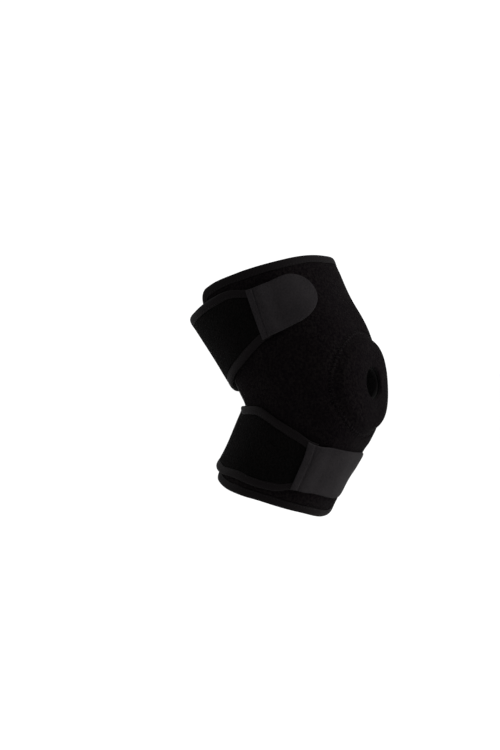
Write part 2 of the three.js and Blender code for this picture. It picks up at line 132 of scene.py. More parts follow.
class Swell(NamedTuple):
    """Slow wave of the panel: its height, the length up the leg for a radian, and its turns round it."""

    height: float
    length: float
    turns: float


class TapeRow(NamedTuple):
    """Point of a folded tape: distance inside the edge, depth under the face, and share of the inside."""

    inset: float
    depth: float
    inside: float


class Softbox(NamedTuple):
    """Square softbox: degrees to the camera's right and above the horizon, distance, side and watts."""

    name: str
    turn: float
    height: float
    distance: float
    size: float
    watts: float


@dataclass(frozen=True)
class Stitch:
    """Straight stitch in millimetres: from one to the next, the thread that shows, and its radius."""

    pitch: float
    length: float
    radius: float


SECTIONS = (
    Section(-1.00, 0.965, 0.75, 1.00, 2.2, 2.0),
    Section(-0.75, 0.965, 0.765, 0.91, 2.2, 2.0),
    Section(-0.43, 0.955, 0.775, 0.91, 2.3, 2.0),
    Section(-0.28, 0.965, 0.835, 0.915, 2.5, 2.05),
    Section(-0.18, 0.975, 0.93, 0.93, 2.7, 2.1),
    Section(0.07, 1.000, 0.985, 1.02, 3.0, 2.1),
    Section(0.31, 1.035, 0.985, 1.05, 2.8, 2.1),
    Section(0.62, 1.105, 1.035, 1.08, 2.4, 2.0),
    Section(1.00, 1.210, 1.17, 1.135, 2.2, 2.0),
)
RIMS = (
    Rim(-150, 1.12, 1.08),
    Rim(-110, 1.045, 1.025),
    Rim(-60, 0.93, 0.965),
    Rim(0, 0.853, 0.957),
    Rim(40, 0.885, 0.922),
    Rim(80, 0.978, 0.965),
    Rim(105, 1.036, 1.03),
    Rim(130, 1.06, 1.085),
    Rim(160, 1.09, 1.105),
)
BACK_EDGE = (
    BackEdge(-1.1, 156),
    BackEdge(-0.5, 157),
    BackEdge(0, 168),
    BackEdge(0.3, 160),
    BackEdge(0.65, 138),
    BackEdge(1.06, 124),
)
UPPER_ROWS = (
    StrapRow(25, 0.815, 0.58, -0.07),
    StrapRow(48, 0.84, 0.59, -0.1),
    StrapRow(68, 0.865, 0.585, -0.15),
    StrapRow(84, 0.90, 0.60, -0.19),
    StrapRow(97, 0.945, 0.73, -0.15),
    StrapRow(120, 0.975, 0.86, -0.05),
    StrapRow(138, 0.995, 0.92, 0),
    StrapRow(156, 1.01, 0.99, 0),
    StrapRow(180, 1.00, 1.00, 0),
    StrapRow(210, 0.97, 0.97, 0),
    StrapRow(240, 0.925, 0.92, 0),
)
LOWER_ROWS = (
    StrapRow(-45, 0.92, 0.50, 0),
    StrapRow(-12, 0.91, 0.50, 0),
    StrapRow(41, 0.84, 0.48, 0),
    StrapRow(59, 0.85, 0.51, 0),
    StrapRow(68, 0.875, 0.605, 0),
    StrapRow(85, 0.893, 0.714, 0),
    StrapRow(97, 0.893, 0.786, 0),
    StrapRow(119, 0.864, 0.94, 0),
    StrapRow(147, 0.975, 1.01, 0),
    StrapRow(180, 1.02, 0.98, 0),
    StrapRow(210, 0.98, 0.92, 0),
    StrapRow(240, 0.92, 0.81, 0),
)
PAD_RISES = (
    Rise(0, 0.64),
    Rise(0.2, 0.82),
    Rise(0.55, 1),
    Rise(0.74, 0.82),
    Rise(0.89, 0.2),
    Rise(1, 0.05),
)
# Folds of the panel: the pull lines from the bend of the knee, and the creases behind it
PANEL_FOLDS = (
    Fold(38, 92, -34, 26, 3.2, 0.55),
    Fold(28, 100, -28, 24, 3.0, 0.6),
    Fold(16, 106, -16, 26, 3.0, 0.65),
    Fold(5, 112, -4, 30, 3.2, 0.8),
    Fold(-5, 118, 8, 26, 3.0, 0.7),
    Fold(22, 138, -12, 24, 3.4, 0.9),
    Fold(11, 146, 2, 24, 3.0, 1.0),
    Fold(1, 150, 6, 22, 3.0, 0.8),
    Fold(12, 74, -38, 20, 4.5, 0.35),
    Fold(-22, 66, 30, 22, 4.5, 0.35),
    Fold(70, 30, 70, 26, 8, 0.35),
    Fold(20, -100, 10, 28, 3.4, 0.8),
    Fold(8, -108, 0, 30, 3.2, 0.9),
    Fold(-4, -104, -8, 26, 3.4, 0.7),
)
PANEL_SWELLS = (
    Swell(0.28, 13, 2.3),
    Swell(0.20, 7.9, -4.1),
)
TAPE_ROWS = (
    TapeRow(8.0, 0.55, 0),
    TapeRow(7.98, 0.20, 0),
    TapeRow(7.7, 0.0, 0),
    TapeRow(7.1, -0.08, 0),
    TapeRow(6.75, -0.02, 0),
    TapeRow(6.4, 0.14, 0),
    TapeRow(6.05, -0.02, 0),
    TapeRow(5.6, -0.12, 0),
    TapeRow(4.2, -0.24, 0),
    TapeRow(2.4, -0.22, 0),
    TapeRow(1.0, -0.02, 0),
    TapeRow(0.0, 0.32, 0.25),
    TapeRow(-0.6, 0.85, 0.5),
    TapeRow(-0.88, 1.35, 0.75),
)
TAPE_STITCH = Stitch(3.4, 2.6, 0.2)
START_STITCH = Stitch(3.4, 2.7, 0.24)
TAB_STITCH = Stitch(2.9, 2.2, 0.2)
# Middle of the upper strap below the panel's top, and of the lower strap above its bottom
UPPER_STRAP_DROP = 40.5
LOWER_STRAP_RISE = 45.0
SOFTBOXES = (
    Softbox("front_right_softbox", 74, 24, 1.5, 0.9, 44),
    Softbox("back_left_softbox", -125, 18, 1.5, 0.8, 8),
    Softbox("top_softbox", 10, 72, 1.5, 0.9, 5),
)


def smooth_read(rows: Sequence[NamedTuple], column: str, place: Array) -> Array:
    """Reads a column of a table on a smooth curve through its rows, and on a line beyond its ends.

    A cubic between two rows keeps their values and the slopes there, and each slope is the mean of the
    slopes beside it, weighted by the other side's length.

    Args:
        rows: the table, in the order of its column at.
        column: the name of the column to read.
        place: where to read it.

    Returns:
        The values, in the shape of place.
    """
    at = np.array([row.at for row in rows], float)
    value = np.array([getattr(row, column) for row in rows], float)
    place = np.asarray(place, float)
    span = np.diff(at)
    slope = np.diff(value) / span
    inner = (slope[:-1] * span[1:] + slope[1:] * span[:-1]) / (span[:-1] + span[1:])
    tangent = np.concatenate([slope[:1], inner, slope[-1:]])
    i = np.clip(np.searchsorted(at, place) - 1, 0, len(span) - 1)
    t = np.clip((place - at[i]) / span[i], 0, 1)
    curve = ((2 * t**3 - 3 * t**2 + 1) * value[i] + (t**3 - 2 * t**2 + t) * span[i] * tangent[i]
             + (3 * t**2 - 2 * t**3) * value[i + 1] + (t**3 - t**2) * span[i] * tangent[i + 1])
    past = place - np.clip(place, at[0], at[-1])
    return curve + past * np.where(past < 0, tangent[0], tangent[-1])


def smooth_step(low: float, high: float, value: Array) -> Array:
    """Goes from 0 at low to 1 at high, level at both ends (3t^2 - 2t^3)."""
    t = np.clip((np.asarray(value, float) - low) / (high - low), 0, 1)
    return t * t * (3 - 2 * t)


def bump_at(value: Array, middle: float, spread: float) -> Array:
    """A smooth hump of height 1 at the middle, that has fallen to 0.37 a spread away from it."""
    return np.exp(-(((np.asarray(value, float) - middle) / spread) ** 2))


def evenly(points: Array, values: Array, count: int, closed: bool) -> Array:
    """Takes values at even lengths along a line.

    Args:
        points: the line's points, one row each.
        values: what is wanted at each point, one row each.
        count: how many rows to return.
        closed: True if the line runs on from its last point to its first.

    Returns:
        The values at count places. An open line keeps its two ends.
    """
    if closed:
        points = np.concatenate([points, points[:1]])
        values = np.concatenate([values, values[:1]])
    run = np.concatenate([[0], np.cumsum(np.linalg.norm(np.diff(points, axis=0), axis=1))])
    where = np.linspace(0, run[-1], count, endpoint=not closed)
    return np.stack([np.interp(where, run, values[:, k]) for k in range(values.shape[1])], axis=1)


def flat_size(points: Array) -> tuple[tuple[float, float], float]:
    """Size of a cloth laid flat, from a grid of points over it in millimetres.

    Args:
        points: rows from one long edge to the other, each along the cloth.

    Returns:
        Greatest width and length, and area, in metres and square metres.
    """
    down, along = np.diff(points, axis=0), np.diff(points, axis=1)
    width = np.linalg.norm(down, axis=-1).sum(axis=0).max() * MM
    length = np.linalg.norm(along, axis=-1).sum(axis=1).max() * MM
    area = np.linalg.norm(np.cross(down[:, 1:], along[1:]), axis=-1).sum() * MM**2
    return (float(width), float(length)), float(area)


@dataclass(frozen=True)
class LegForm:
    """Form of the bent leg that every piece lies on. Lengths are in millimetres, angles in degrees."""

    thigh_lean: float = 33.0
    shin_lean: float = 27.5
    bend_length: float = 110.0
    thigh_reach: float = 145.0
    shin_reach: float = 140.0
    half_width: float = 57.0
    front_depth: float = 66.0
    back_depth: float = 74.0

    def line(self, place: Array) -> tuple[Array, Array, Array]:
        """Follows the middle line: the shin's line, an arc at the knee, and the thigh's line.

        Args:
            place: length along the line from the middle of the knee.

        Returns:
            Y and Z of the line, and its tilt from upright in radians.
        """
        bend = math.radians(self.thigh_lean + self.shin_lean) / self.bend_length
        middle = math.radians(self.thigh_lean - self.shin_lean) / 2
        in_arc = np.clip(place, -self.bend_length / 2, self.bend_length / 2)
        tilt = middle + bend * in_arc
        beyond = place - in_arc
        y = (math.cos(middle) - np.cos(tilt)) / bend + beyond * np.sin(tilt)
        z = (np.sin(tilt) - math.sin(middle)) / bend + beyond * np.cos(tilt)
        return y, z, tilt

    def surface(self, place: Array, angle: Array) -> Array:
        """Points of the surface, whose sections are rounded ovals.

        The radius at an angle is (|sin/width|^n + |cos/depth|^n)^(-1/n), where n is how square it is.

        Args:
            place: length along the middle line.
            angle: degrees round it.

        Returns:
            Points in millimetres, with a last axis of X, Y and Z.
        """
        place, angle = np.broadcast_arrays(np.asarray(place, float), np.asarray(angle, float))
        share = place / np.where(place > 0, self.thigh_reach, self.shin_reach)
        y, z, tilt = self.line(place)
        side, ahead = np.sin(np.radians(angle)), np.cos(np.radians(angle))
        front = ahead > 0
        wide = self.half_width * smooth_read(SECTIONS, "width", share)
        deep = np.where(front, self.front_depth * smooth_read(SECTIONS, "front", share),
                        self.back_depth * smooth_read(SECTIONS, "back", share))
        square = np.where(front, smooth_read(SECTIONS, "square_front", share),
                          smooth_read(SECTIONS, "square_back", share))
        radius = (np.abs(side / wide) ** square + np.abs(ahead / deep) ** square) ** (-1 / square)
        forward = radius * ahead
        return np.stack([-radius * side, y - forward * np.cos(tilt), z + forward * np.sin(tilt)], axis=-1)

    def normal(self, place: Array, angle: Array) -> Array:
        """Unit directions that point away from the leg: the cross product of its two steps.

        Args:
            place: length along the middle line.
            angle: degrees round it.

        Returns:
            Directions, with a last axis of X, Y and Z.
        """
        along = self.surface(place + 0.5, angle) - self.surface(place - 0.5, angle)
        around = self.surface(place, angle + 0.5) - self.surface(place, angle - 0.5)
        out = np.cross(along, around)
        return out / np.linalg.norm(out, axis=-1, keepdims=True)

    def point(self, place: Array, angle: Array, height: Array) -> Array:
        """Points at a height above the surface, in millimetres."""
        place, angle, height = np.broadcast_arrays(
            np.asarray(place, float), np.asarray(angle, float), np.asarray(height, float))
        return self.surface(place, angle) + self.normal(place, angle) * height[..., None]

    def scale(self, place: Array, angle: Array, height: float = 2.0) -> tuple[Array, Array]:
        """Millimetres for one unit of place and for one degree of angle, at a height.

        Args:
            place: length along the middle line.
            angle: degrees round it.
            height: millimetres above the surface.

        Returns:
            The two lengths, in the shape of place and angle.
        """
        place, angle = np.asarray(place, float), np.asarray(angle, float)
        along = self.point(place + 0.5, angle, height) - self.point(place - 0.5, angle, height)
        around = self.point(place, angle + 0.5, height) - self.point(place, angle - 0.5, height)
        return np.linalg.norm(along, axis=-1), np.linalg.norm(around, axis=-1)


@dataclass(frozen=True)
class Cloth:
    """Thicknesses and gaps of the layers, in millimetres."""

    panel: float = 4.0
    strap: float = 3.2
    tab: float = 1.8
    gap: float = 0.45
    tape_wide: float = 8.0
    tape: float = 0.6
    tape_clear: float = 0.3
    tape_ramp: float = 1.2

    @property
    def thinned(self) -> float:
        """How far a face is pressed in under the tape."""
        return self.tape + self.tape_clear

    @property
    def band(self) -> float:
        """Width of the edge that is pressed in."""
        return self.tape_wide + self.tape_clear

    @property
    def on_panel(self) -> float:
        """Height of what lies on the panel."""
        return self.panel + self.gap

    @property
    def on_strap(self) -> float:
        """Height of what lies on a strap that lies on the panel."""
        return self.on_panel + self.strap + self.gap


# Nodes and finishes


def linear(hex_colour: str) -> tuple[float, float, float, float]:
    """Turns an sRGB hex colour such as #1a1819 to linear red, green, blue and alpha 1."""
    parts = np.array([int(hex_colour[i:i + 2], 16) for i in (1, 3, 5)]) / 255
    curved = np.where(parts <= 0.04045, parts / 12.92, ((parts + 0.055) / 1.055) ** 2.4)
    return (*curved.tolist(), 1.0)


def per_metre(millimetres: float) -> float:
    """Scale of a texture whose grain has that real size, on coordinates in metres."""
    return 1 / (millimetres * MM)


def bands(millimetres: float) -> float:
    """Scale of a wave texture, which draws sin(20 * scale * length), for bands that far apart."""
    return math.pi / 10 * per_metre(millimetres)


def add_node(tree: bpy.types.NodeTree, kind: str, inputs: Inputs | None = None,
             **settings: object) -> bpy.types.Node:
    """Adds a node with its settings and links.

    Args:
        tree: where the node goes.
        kind: Blender's name of the node's type.
        inputs: for each socket, by name or number, the output that it is linked to or its own value.
        settings: the node's own properties.

    Returns:
        The node.
    """
    node = tree.nodes.new(kind)
    for name, value in settings.items():
        setattr(node, name, value)
    for name, value in (inputs or {}).items():
        if isinstance(value, bpy.types.NodeSocket):
            tree.links.new(value, node.inputs[name])
        else:
            node.inputs[name].default_value = value
    return node


@dataclass(frozen=True)
class Finish:
    """Finish of a cloth. A subclass says how its pattern is made.

    The pattern gives a share from 0, the dark colour, to 1, the light one, and a height.
    """

    name: str
    dark: str
    light: str
    roughness: float
    specular: float
    sheen: float
    sheen_roughness: float
    relief: float

    def pattern(self, tree: bpy.types.NodeTree) -> tuple[bpy.types.NodeSocket, bpy.types.NodeSocket]:
        """Makes the outputs that the colour's share and the height are read from.

        Args:
            tree: the node tree that gets them.

        Returns:
            The outputs of the colour's share and of the height.
        """
        raise NotImplementedError

    def material(self) -> bpy.types.Material:
        """Makes the material, or finds it if it is made already.

        Returns:
            The material.
        """
        made = bpy.data.materials.get(self.name)
        if made:
            return made
        made = bpy.data.materials.new(self.name)
        made.use_nodes = True
        tree = made.node_tree
        tree.nodes.clear()
        share, height = self.pattern(tree)
        colour = add_node(tree, "ShaderNodeMix", {0: share, 6: linear(self.dark), 7: linear(self.light)},
                          data_type="RGBA")
        bump = add_node(tree, "ShaderNodeBump", {"Height": height, "Strength": 1.0,
                                                 "Distance": self.relief * MM})
        shader = add_node(tree, "ShaderNodeBsdfPrincipled", {
            "Base Color": colour.outputs[2],
            "Normal": bump.outputs["Normal"],
            "Roughness": self.roughness,
            "Specular IOR Level": self.specular,
            "Sheen Weight": self.sheen,
            "Sheen Roughness": self.sheen_roughness,
        })
        add_node(tree, "ShaderNodeOutputMaterial", {"Surface": shader.outputs["BSDF"]})
        made.diffuse_color = linear(self.light)
        return made


@dataclass(frozen=True)
class LoopFace(Finish):
    """Napped nylon loop, knitted and laminated on neoprene: dull tufts, with painted shade in the pits
    between them.
    """

    tuft: float = 2.7
    fibre: float = 0.9
    patch: float = 34.0

    def pattern(self, tree: bpy.types.NodeTree) -> tuple[bpy.types.NodeSocket, bpy.types.NodeSocket]:
        """Adds tufts and fibres, and slow patches where the nap is brushed flat. The colour's share follows
        the height, so the low pits between the tufts get painted shade on top of the nap's own uneven tone.

        Args:
            tree: the node tree that gets them.

        Returns:
            The outputs of the colour's share and of the height.
        """
        place = add_node(tree, "ShaderNodeTexCoord").outputs["Object"]
        tufts = add_node(tree, "ShaderNodeTexNoise", {"Vector": place, "Scale": per_metre(self.tuft),
                                                      "Detail": 3.0, "Roughness": 0.6})
        fibres = add_node(tree, "ShaderNodeTexNoise", {"Vector": place, "Scale": per_metre(self.fibre),
                                                       "Detail": 3.0, "Roughness": 0.6})
        patches = add_node(tree, "ShaderNodeTexNoise", {"Vector": place, "Scale": per_metre(self.patch),
                                                        "Detail": 2.0})
        clumps = add_node(tree, "ShaderNodeMapRange", {"Value": tufts.outputs["Fac"],
                                                       "From Min": 0.36, "From Max": 0.64})
        height = add_node(tree, "ShaderNodeMath", {0: fibres.outputs["Fac"], 1: 0.35,
                                                   2: clumps.outputs["Result"]}, operation="MULTIPLY_ADD")
        brushed = add_node(tree, "ShaderNodeMapRange", {"Value": patches.outputs["Fac"], "From Min": 0.3,
                                                        "From Max": 0.7, "To Min": 0.45, "To Max": 0.8})
        # Colour share is the height times the brushed patches: the low pits between tufts are painted dark
        # as shade, and the patches are the nap's own tone
        share = add_node(tree, "ShaderNodeMath", {0: height.outputs[0], 1: brushed.outputs["Result"]},
                         operation="MULTIPLY")
        return share.outputs[0], height.outputs[0]


@dataclass(frozen=True)
class KnitLining(Finish):
    """Nylon jersey on the inner face: fine wales that run round the leg, smoother than the loop."""

    wale: float = 1.7  # real wales are 0.6 mm apart, too fine to show, so they are drawn this coarse
    course: float = 1.3

    def pattern(self, tree: bpy.types.NodeTree) -> tuple[bpy.types.NodeSocket, bpy.types.NodeSocket]:
        """Adds wales and courses, which cross as two rows of waves, on the cloth's own UV map.

        Args:
            tree: the node tree that gets them.

        Returns:
            The outputs of the colour's share and of the height.
        """
        flat = add_node(tree, "ShaderNodeTexCoord").outputs["UV"]
        wales = add_node(tree, "ShaderNodeTexWave", {"Vector": flat, "Scale": bands(self.wale),
                                                     "Distortion": 0.6, "Detail": 1.0}, bands_direction="Y")
        courses = add_node(tree, "ShaderNodeTexWave", {"Vector": flat, "Scale": bands(self.course),
                                                       "Distortion": 0.6, "Detail": 1.0},
                           bands_direction="X")
        knit = add_node(tree, "ShaderNodeMath", {0: wales.outputs["Fac"], 1: courses.outputs["Fac"]},
                        operation="MULTIPLY")
        return knit.outputs[0], knit.outputs[0]


@dataclass(frozen=True)
class CutFoam(Finish):
    """Cut edge of closed-cell neoprene foam: dense, matt and finely pitted."""

    cell: float = 0.6

    def pattern(self, tree: bpy.types.NodeTree) -> tuple[bpy.types.NodeSocket, bpy.types.NodeSocket]:
        """Adds the cut cells."""
        place = add_node(tree, "ShaderNodeTexCoord").outputs["Object"]
        cells = add_node(tree, "ShaderNodeTexVoronoi", {"Vector": place, "Scale": per_metre(self.cell)})
        return cells.outputs["Distance"], cells.outputs["Distance"]


@dataclass(frozen=True)
class BindingTape(Finish):
    """Woven nylon stretch tape: fine ribs across it, and a slightly brighter, smoother face than cloth."""

    rib: float = 1.5  # real ribs are 0.5 mm apart, too fine to show, so they are drawn this coarse
    thread: float = 0.9

    def pattern(self, tree: bpy.types.NodeTree) -> tuple[bpy.types.NodeSocket, bpy.types.NodeSocket]:
        """Adds the ribs on the tape's own UV map, broken up by uneven threads.

        Args:
            tree: the node tree that gets them.

        Returns:
            The outputs of the colour's share and of the height.
        """
        coords = add_node(tree, "ShaderNodeTexCoord")
        ribs = add_node(tree, "ShaderNodeTexWave", {"Vector": coords.outputs["UV"],
                                                    "Scale": bands(self.rib), "Distortion": 1.2,
                                                    "Detail": 2.0}, bands_direction="X")
        threads = add_node(tree, "ShaderNodeTexNoise", {"Vector": coords.outputs["Object"],
                                                        "Scale": per_metre(self.thread), "Detail": 3.0})
        height = add_node(tree, "ShaderNodeMath", {0: ribs.outputs["Fac"], 1: 0.45,
                                                   2: threads.outputs["Fac"]}, operation="MULTIPLY_ADD")
        share = add_node(tree, "ShaderNodeMapRange", {"Value": height.outputs[0], "From Min": 0.35,
                                                      "From Max": 1.1})
        return share.outputs["Result"], height.outputs[0]


@dataclass(frozen=True)
class HookBacking(Finish):
    """Woven back of hook tape: dark grey, even and flat, with a fine speckle where threads cross."""

    thread: float = 1.25  # real threads are 0.4 mm apart, too fine to show, so they are drawn this coarse
    speckle: float = 1.2
    wear: float = 16.0

    def pattern(self, tree: bpy.types.NodeTree) -> tuple[bpy.types.NodeSocket, bpy.types.NodeSocket]:
        """Adds the two crossing sets of threads on the tape's own UV map, a speckle and slow wear.

        Args:
            tree: the node tree that gets them.

        Returns:
            The outputs of the colour's share and of the height.
        """
        coords = add_node(tree, "ShaderNodeTexCoord")
        sets = [
            add_node(tree, "ShaderNodeTexWave", {"Vector": coords.outputs["UV"], "Distortion": 1.0,
                                                 "Scale": bands(self.thread), "Detail": 2.0},
                     bands_direction=direction)
            for direction in ("X", "Y")
        ]
        crossing = add_node(tree, "ShaderNodeMath", {0: sets[0].outputs["Fac"], 1: sets[1].outputs["Fac"]},
                            operation="MULTIPLY")
        specks = add_node(tree, "ShaderNodeTexNoise", {"Vector": coords.outputs["Object"],
                                                       "Scale": per_metre(self.speckle), "Detail": 3.0,
                                                       "Roughness": 0.7})
        patches = add_node(tree, "ShaderNodeTexNoise", {"Vector": coords.outputs["Object"],
                                                        "Scale": per_metre(self.wear), "Detail": 2.0})
        height = add_node(tree, "ShaderNodeMath", {0: crossing.outputs[0], 1: 0.35,
                                                   2: specks.outputs["Fac"]}, operation="MULTIPLY_ADD")
        worn = add_node(tree, "ShaderNodeMath", {0: patches.outputs["Fac"], 1: 0.2,
                                                 2: height.outputs[0]}, operation="MULTIPLY_ADD")
        share = add_node(tree, "ShaderNodeMapRange", {"Value": worn.outputs[0], "From Min": 0.46,
                                                      "From Max": 0.9})
        return share.outputs["Result"], height.outputs[0]


@dataclass(frozen=True)
class SewingThread(Finish):
    """Twisted polyester sewing thread: hard, thin and a little glossy."""

    ply: float = 0.5

    def pattern(self, tree: bpy.types.NodeTree) -> tuple[bpy.types.NodeSocket, bpy.types.NodeSocket]:
        """Adds the uneven plies."""
        place = add_node(tree, "ShaderNodeTexCoord").outputs["Object"]
        plies = add_node(tree, "ShaderNodeTexNoise", {"Vector": place, "Scale": per_metre(self.ply)})
        return plies.outputs["Fac"], plies.outputs["Fac"]


# Nylon loop, knitted and laminated on the foam, then brushed: it soaks up light, so the panel looks black
LOOP = LoopFace("napped_loop_on_neoprene", "#020102", "#0a0808", 0.95, 0.008, 0.002, 0.5, 0.6)
# The same loop, shorter and denser: darker and smoother to the eye than the panel
STRAP_LOOP = LoopFace("strap_loop_on_neoprene", "#010101", "#060505", 0.95, 0.008, 0.002, 0.5, 0.5,
                      tuft=2.2)
# Nylon jersey, knitted in a round and laminated: faint ridges and a slight sheen inside the hollow
LINING = KnitLining("nylon_jersey_lining", "#040404", "#0f0d0e", 0.85, 0.03, 0.005, 0.4, 0.12)
# Closed-cell neoprene, cut with a die: a dense and dull edge
FOAM = CutFoam("cut_neoprene_foam", "#030303", "#0b0a0a", 0.8, 0.03, 0.0, 0.4, 0.06)
# Stretch tape, woven and folded: its flat ribs catch more light than the nap, which draws every edge
TAPE = BindingTape("nylon_binding_tape", "#030202", "#0a0809", 0.75, 0.02, 0.005, 0.4, 0.12)
# Back of hook tape, woven of thick threads: flat and dark grey, the lightest piece of all
HOOK = HookBacking("woven_hook_tape_back", "#090809", "#191718", 0.8, 0.02, 0.004, 0.4, 0.14)
# Polyester thread, twisted: hard and a little glossy, so each stitch shows as a fine light dash
THREAD = SewingThread("polyester_sewing_thread", "#040404", "#0f0d0e", 0.55, 0.05, 0.0, 0.4, 0.03)


# Meshes


@dataclass
class Draft:
    """Closed mesh in the making: quads in arrays, with a corner map in metres and a face number."""

    name: str
    points: list[Array] = field(default_factory=list)
    quads: list[Array] = field(default_factory=list)
    corners: list[Array] = field(default_factory=list)
    faces: list[Array] = field(default_factory=list)

    def _add(self, points: Array, quads: Array, corners: Array, faces: Array) -> None:
        """Adds a block of points and the quads between them.

        Args:
            points: X, Y and Z on a last axis, in millimetres.
            quads: four numbers of points of this block on a last axis.
            corners: for each corner of a quad, its place on the map in metres.
            faces: the Face number of each quad.
        """
        start = sum(len(block) for block in self.points)
        self.points.append(points.reshape(-1, 3))
        self.quads.append(quads.reshape(-1, 4) + start)
        self.corners.append(corners.reshape(-1, 4, 2))
        self.faces.append(faces.reshape(-1))

    def carry(self, sections: Array, ring: bool, faces: Array | None = None) -> None:
        """Carries a closed section along a path, and joins or caps its ends.

        The corner map is the length along the path and the length round the section. A cap joins point i
        of the section to point i from its end, so a section goes out along one side and comes back
        along the other.

        Args:
            sections: points with the axes station, point of the section, and X, Y, Z in millimetres.
            ring: True if the path runs on from its last station to its first.
            faces: the Face number of each strip between a point of the section and the next.
        """
        stations, size = sections.shape[:2]
        faces = np.zeros(size, int) if faces is None else faces
        shown = np.concatenate([sections, sections[:1]]) if ring else sections
        steps = np.linalg.norm(np.diff(shown, axis=0), axis=2).mean(axis=1) * MM
        middle = np.concatenate([sections[stations // 2], sections[stations // 2][:1]])
        u = np.concatenate([[0], np.cumsum(steps)])
        v = np.concatenate([[0], np.cumsum(np.linalg.norm(np.diff(middle, axis=0), axis=1) * MM)])
        s, k = np.meshgrid(np.arange(len(steps)), np.arange(size), indexing="ij")
        s1, k1 = (s + 1) % stations, (k + 1) % size
        quads = np.stack([s * size + k, s1 * size + k, s1 * size + k1, s * size + k1], axis=-1)
        corners = np.stack([np.stack([u[s + a], v[k + b]], axis=-1)
                            for a, b in ((0, 0), (1, 0), (1, 1), (0, 1))], axis=-2)
        blocks = [(quads.reshape(-1, 4), corners.reshape(-1, 4, 2), np.tile(faces, len(steps)))]
        if not ring:
            i = np.arange(size // 2 - 1)
            cap = np.stack([i, i + 1, size - 2 - i, size - 1 - i], axis=-1)
            last = cap[:, ::-1] + (stations - 1) * size
            for block, at in ((cap, u[0]), (last, u[-1])):
                flat = np.stack([np.full(block.shape, at), v[block % size]], axis=-1)
                blocks.append((block, flat, np.full(len(block), faces[0])))
        self._add(sections, *(np.concatenate(parts) for parts in zip(*blocks)))

    def threads(self, middles: Array, runs: Array, outs: Array, radius: float, rise: float) -> None:
        """Adds short stitches, each a six-sided thread that dips into the cloth at both ends.

        A thread's centre line is middle + run * t + out * rise * (1 - 2 t^2), t from -1 to 1, and its
        radius falls to a third at the ends.

        Args:
            middles: the middle of each stitch, in millimetres.
            runs: from its middle to its end.
            outs: unit directions away from the cloth.
            radius: of the thread.
            rise: height of its middle above the cloth, and depth of its ends below.
        """
        t = np.array([-1.0, -0.6, 0.0, 0.6, 1.0])
        turn = np.radians(np.arange(6) * 60.0)
        size = radius * np.array([0.35, 0.9, 1.0, 0.9, 0.35])
        across = np.cross(runs, outs)
        across /= np.linalg.norm(across, axis=1, keepdims=True)
        centre = (middles[:, None] + runs[:, None] * t[None, :, None]
                  + outs[:, None] * (rise * (1 - 2 * t**2))[None, :, None])
        ring = (np.cos(turn)[None, None, :, None] * across[:, None, None]
                + np.sin(turn)[None, None, :, None] * outs[:, None, None])
        points = centre[:, :, None] + ring * size[None, :, None, None]
        s, k = np.meshgrid(np.arange(4), np.arange(6), indexing="ij")
        quads = np.stack([s * 6 + k, s * 6 + 6 + k, s * 6 + 6 + (k + 1) % 6, s * 6 + (k + 1) % 6], axis=-1)
        cap = np.array([[0, 1, 4, 5], [1, 2, 3, 4]])
        one = np.concatenate([quads.reshape(-1, 4), cap, cap[:, ::-1] + 24])
        count = len(middles)
        every = one[None] + (np.arange(count) * 30)[:, None, None]
        flat = np.stack([one // 6, one % 6], axis=-1) * radius * MM
        self._add(points, every, np.tile(flat[None], (count, 1, 1, 1)), np.zeros(count * len(one), int))

    def build(self, finishes: Sequence[Finish]) -> bpy.types.Object:
        """Makes the object, with its faces pointing out.

        Args:
            finishes: the finish of each Face number that the draft uses.

        Returns:
            The object, linked to the scene, at the origin.
        """
        points = np.concatenate(self.points) * MM
        quads = np.concatenate(self.quads)
        corners = np.concatenate(self.corners)
        a, b, c, d = (points[quads[:, i]] for i in range(4))
        volume = np.einsum("ij,ij->i", a, np.cross(b, c) + np.cross(c, d)).sum()
        if volume < 0:
            quads, corners = quads[:, ::-1], corners[:, ::-1]
        mesh = bpy.data.meshes.new(self.name)
        mesh.from_pydata(points.tolist(), [], quads.tolist())
        mesh.uv_layers.new(name="UVMap").data.foreach_set("uv", corners.astype(np.float32).ravel())
        mesh.polygons.foreach_set("material_index", np.concatenate(self.faces).astype(np.int32))
        mesh.polygons.foreach_set("use_smooth", np.ones(len(quads), bool))
        for finish in finishes:
            mesh.materials.append(finish.material())
        mesh.update()
        made = bpy.data.objects.new(self.name, mesh)
        bpy.context.scene.collection.objects.link(made)
        return made


def place_piece(piece: bpy.types.Object, slot: str, node: str | None = None) -> bpy.types.Object:
    """Lets a piece ride on the support, logs its slot, and puts it in the place of its node.

    Args:
        piece: the object.
        slot: the name of its material slot, which is only logged.
        node: the CAD node that it stands for, if any.

    Returns:
        The same object.
    """
    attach(piece, BODY)
    if node:
        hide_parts(node)
    log.info("%s: %d faces, slot %s", piece.name, len(piece.data.polygons), slot)
    return piece


def declare_cloth(piece: bpy.types.Object, flat: tuple[tuple[float, float], float],
                  sewn_on: Sequence[bpy.types.Object]) -> None:
    """Logs the flat size and area of a piece of cloth stretched round the leg.

    Args:
        piece: the cloth.
        flat: its flat width and length, and its area.
        sewn_on: the pieces that go with it; not used.
    """
    (width, length), area = flat
    log.info("%s: flat %.3f by %.3f m, %.4f square metres", piece.name, width, length, area)


def seam(draft: Draft, line: Array, outs: Array, stitch: Stitch, closed: bool = False) -> None:
    """Sews a straight row of stitches along a line.

    Args:
        draft: the mesh that gets the stitches.
        line: points of the row, in millimetres.
        outs: unit directions away from the cloth there.
        stitch: its sizes.
        closed: True if the row runs on from its end to its start.
    """
    total = np.linalg.norm(np.diff(line, axis=0), axis=1).sum()
    count = max(3, round(total / stitch.pitch))
    both = evenly(line, np.concatenate([line, outs], axis=1), count * 4, closed)
    middles, out = both[1::4, :3], both[1::4, 3:]
    runs = both[2::4, :3] - both[0::4, :3]
    runs *= stitch.length / 2 / np.linalg.norm(runs, axis=1, keepdims=True)
    out = out / np.linalg.norm(out, axis=1, keepdims=True)
    draft.threads(middles, runs, out, stitch.radius, stitch.radius * 0.8)


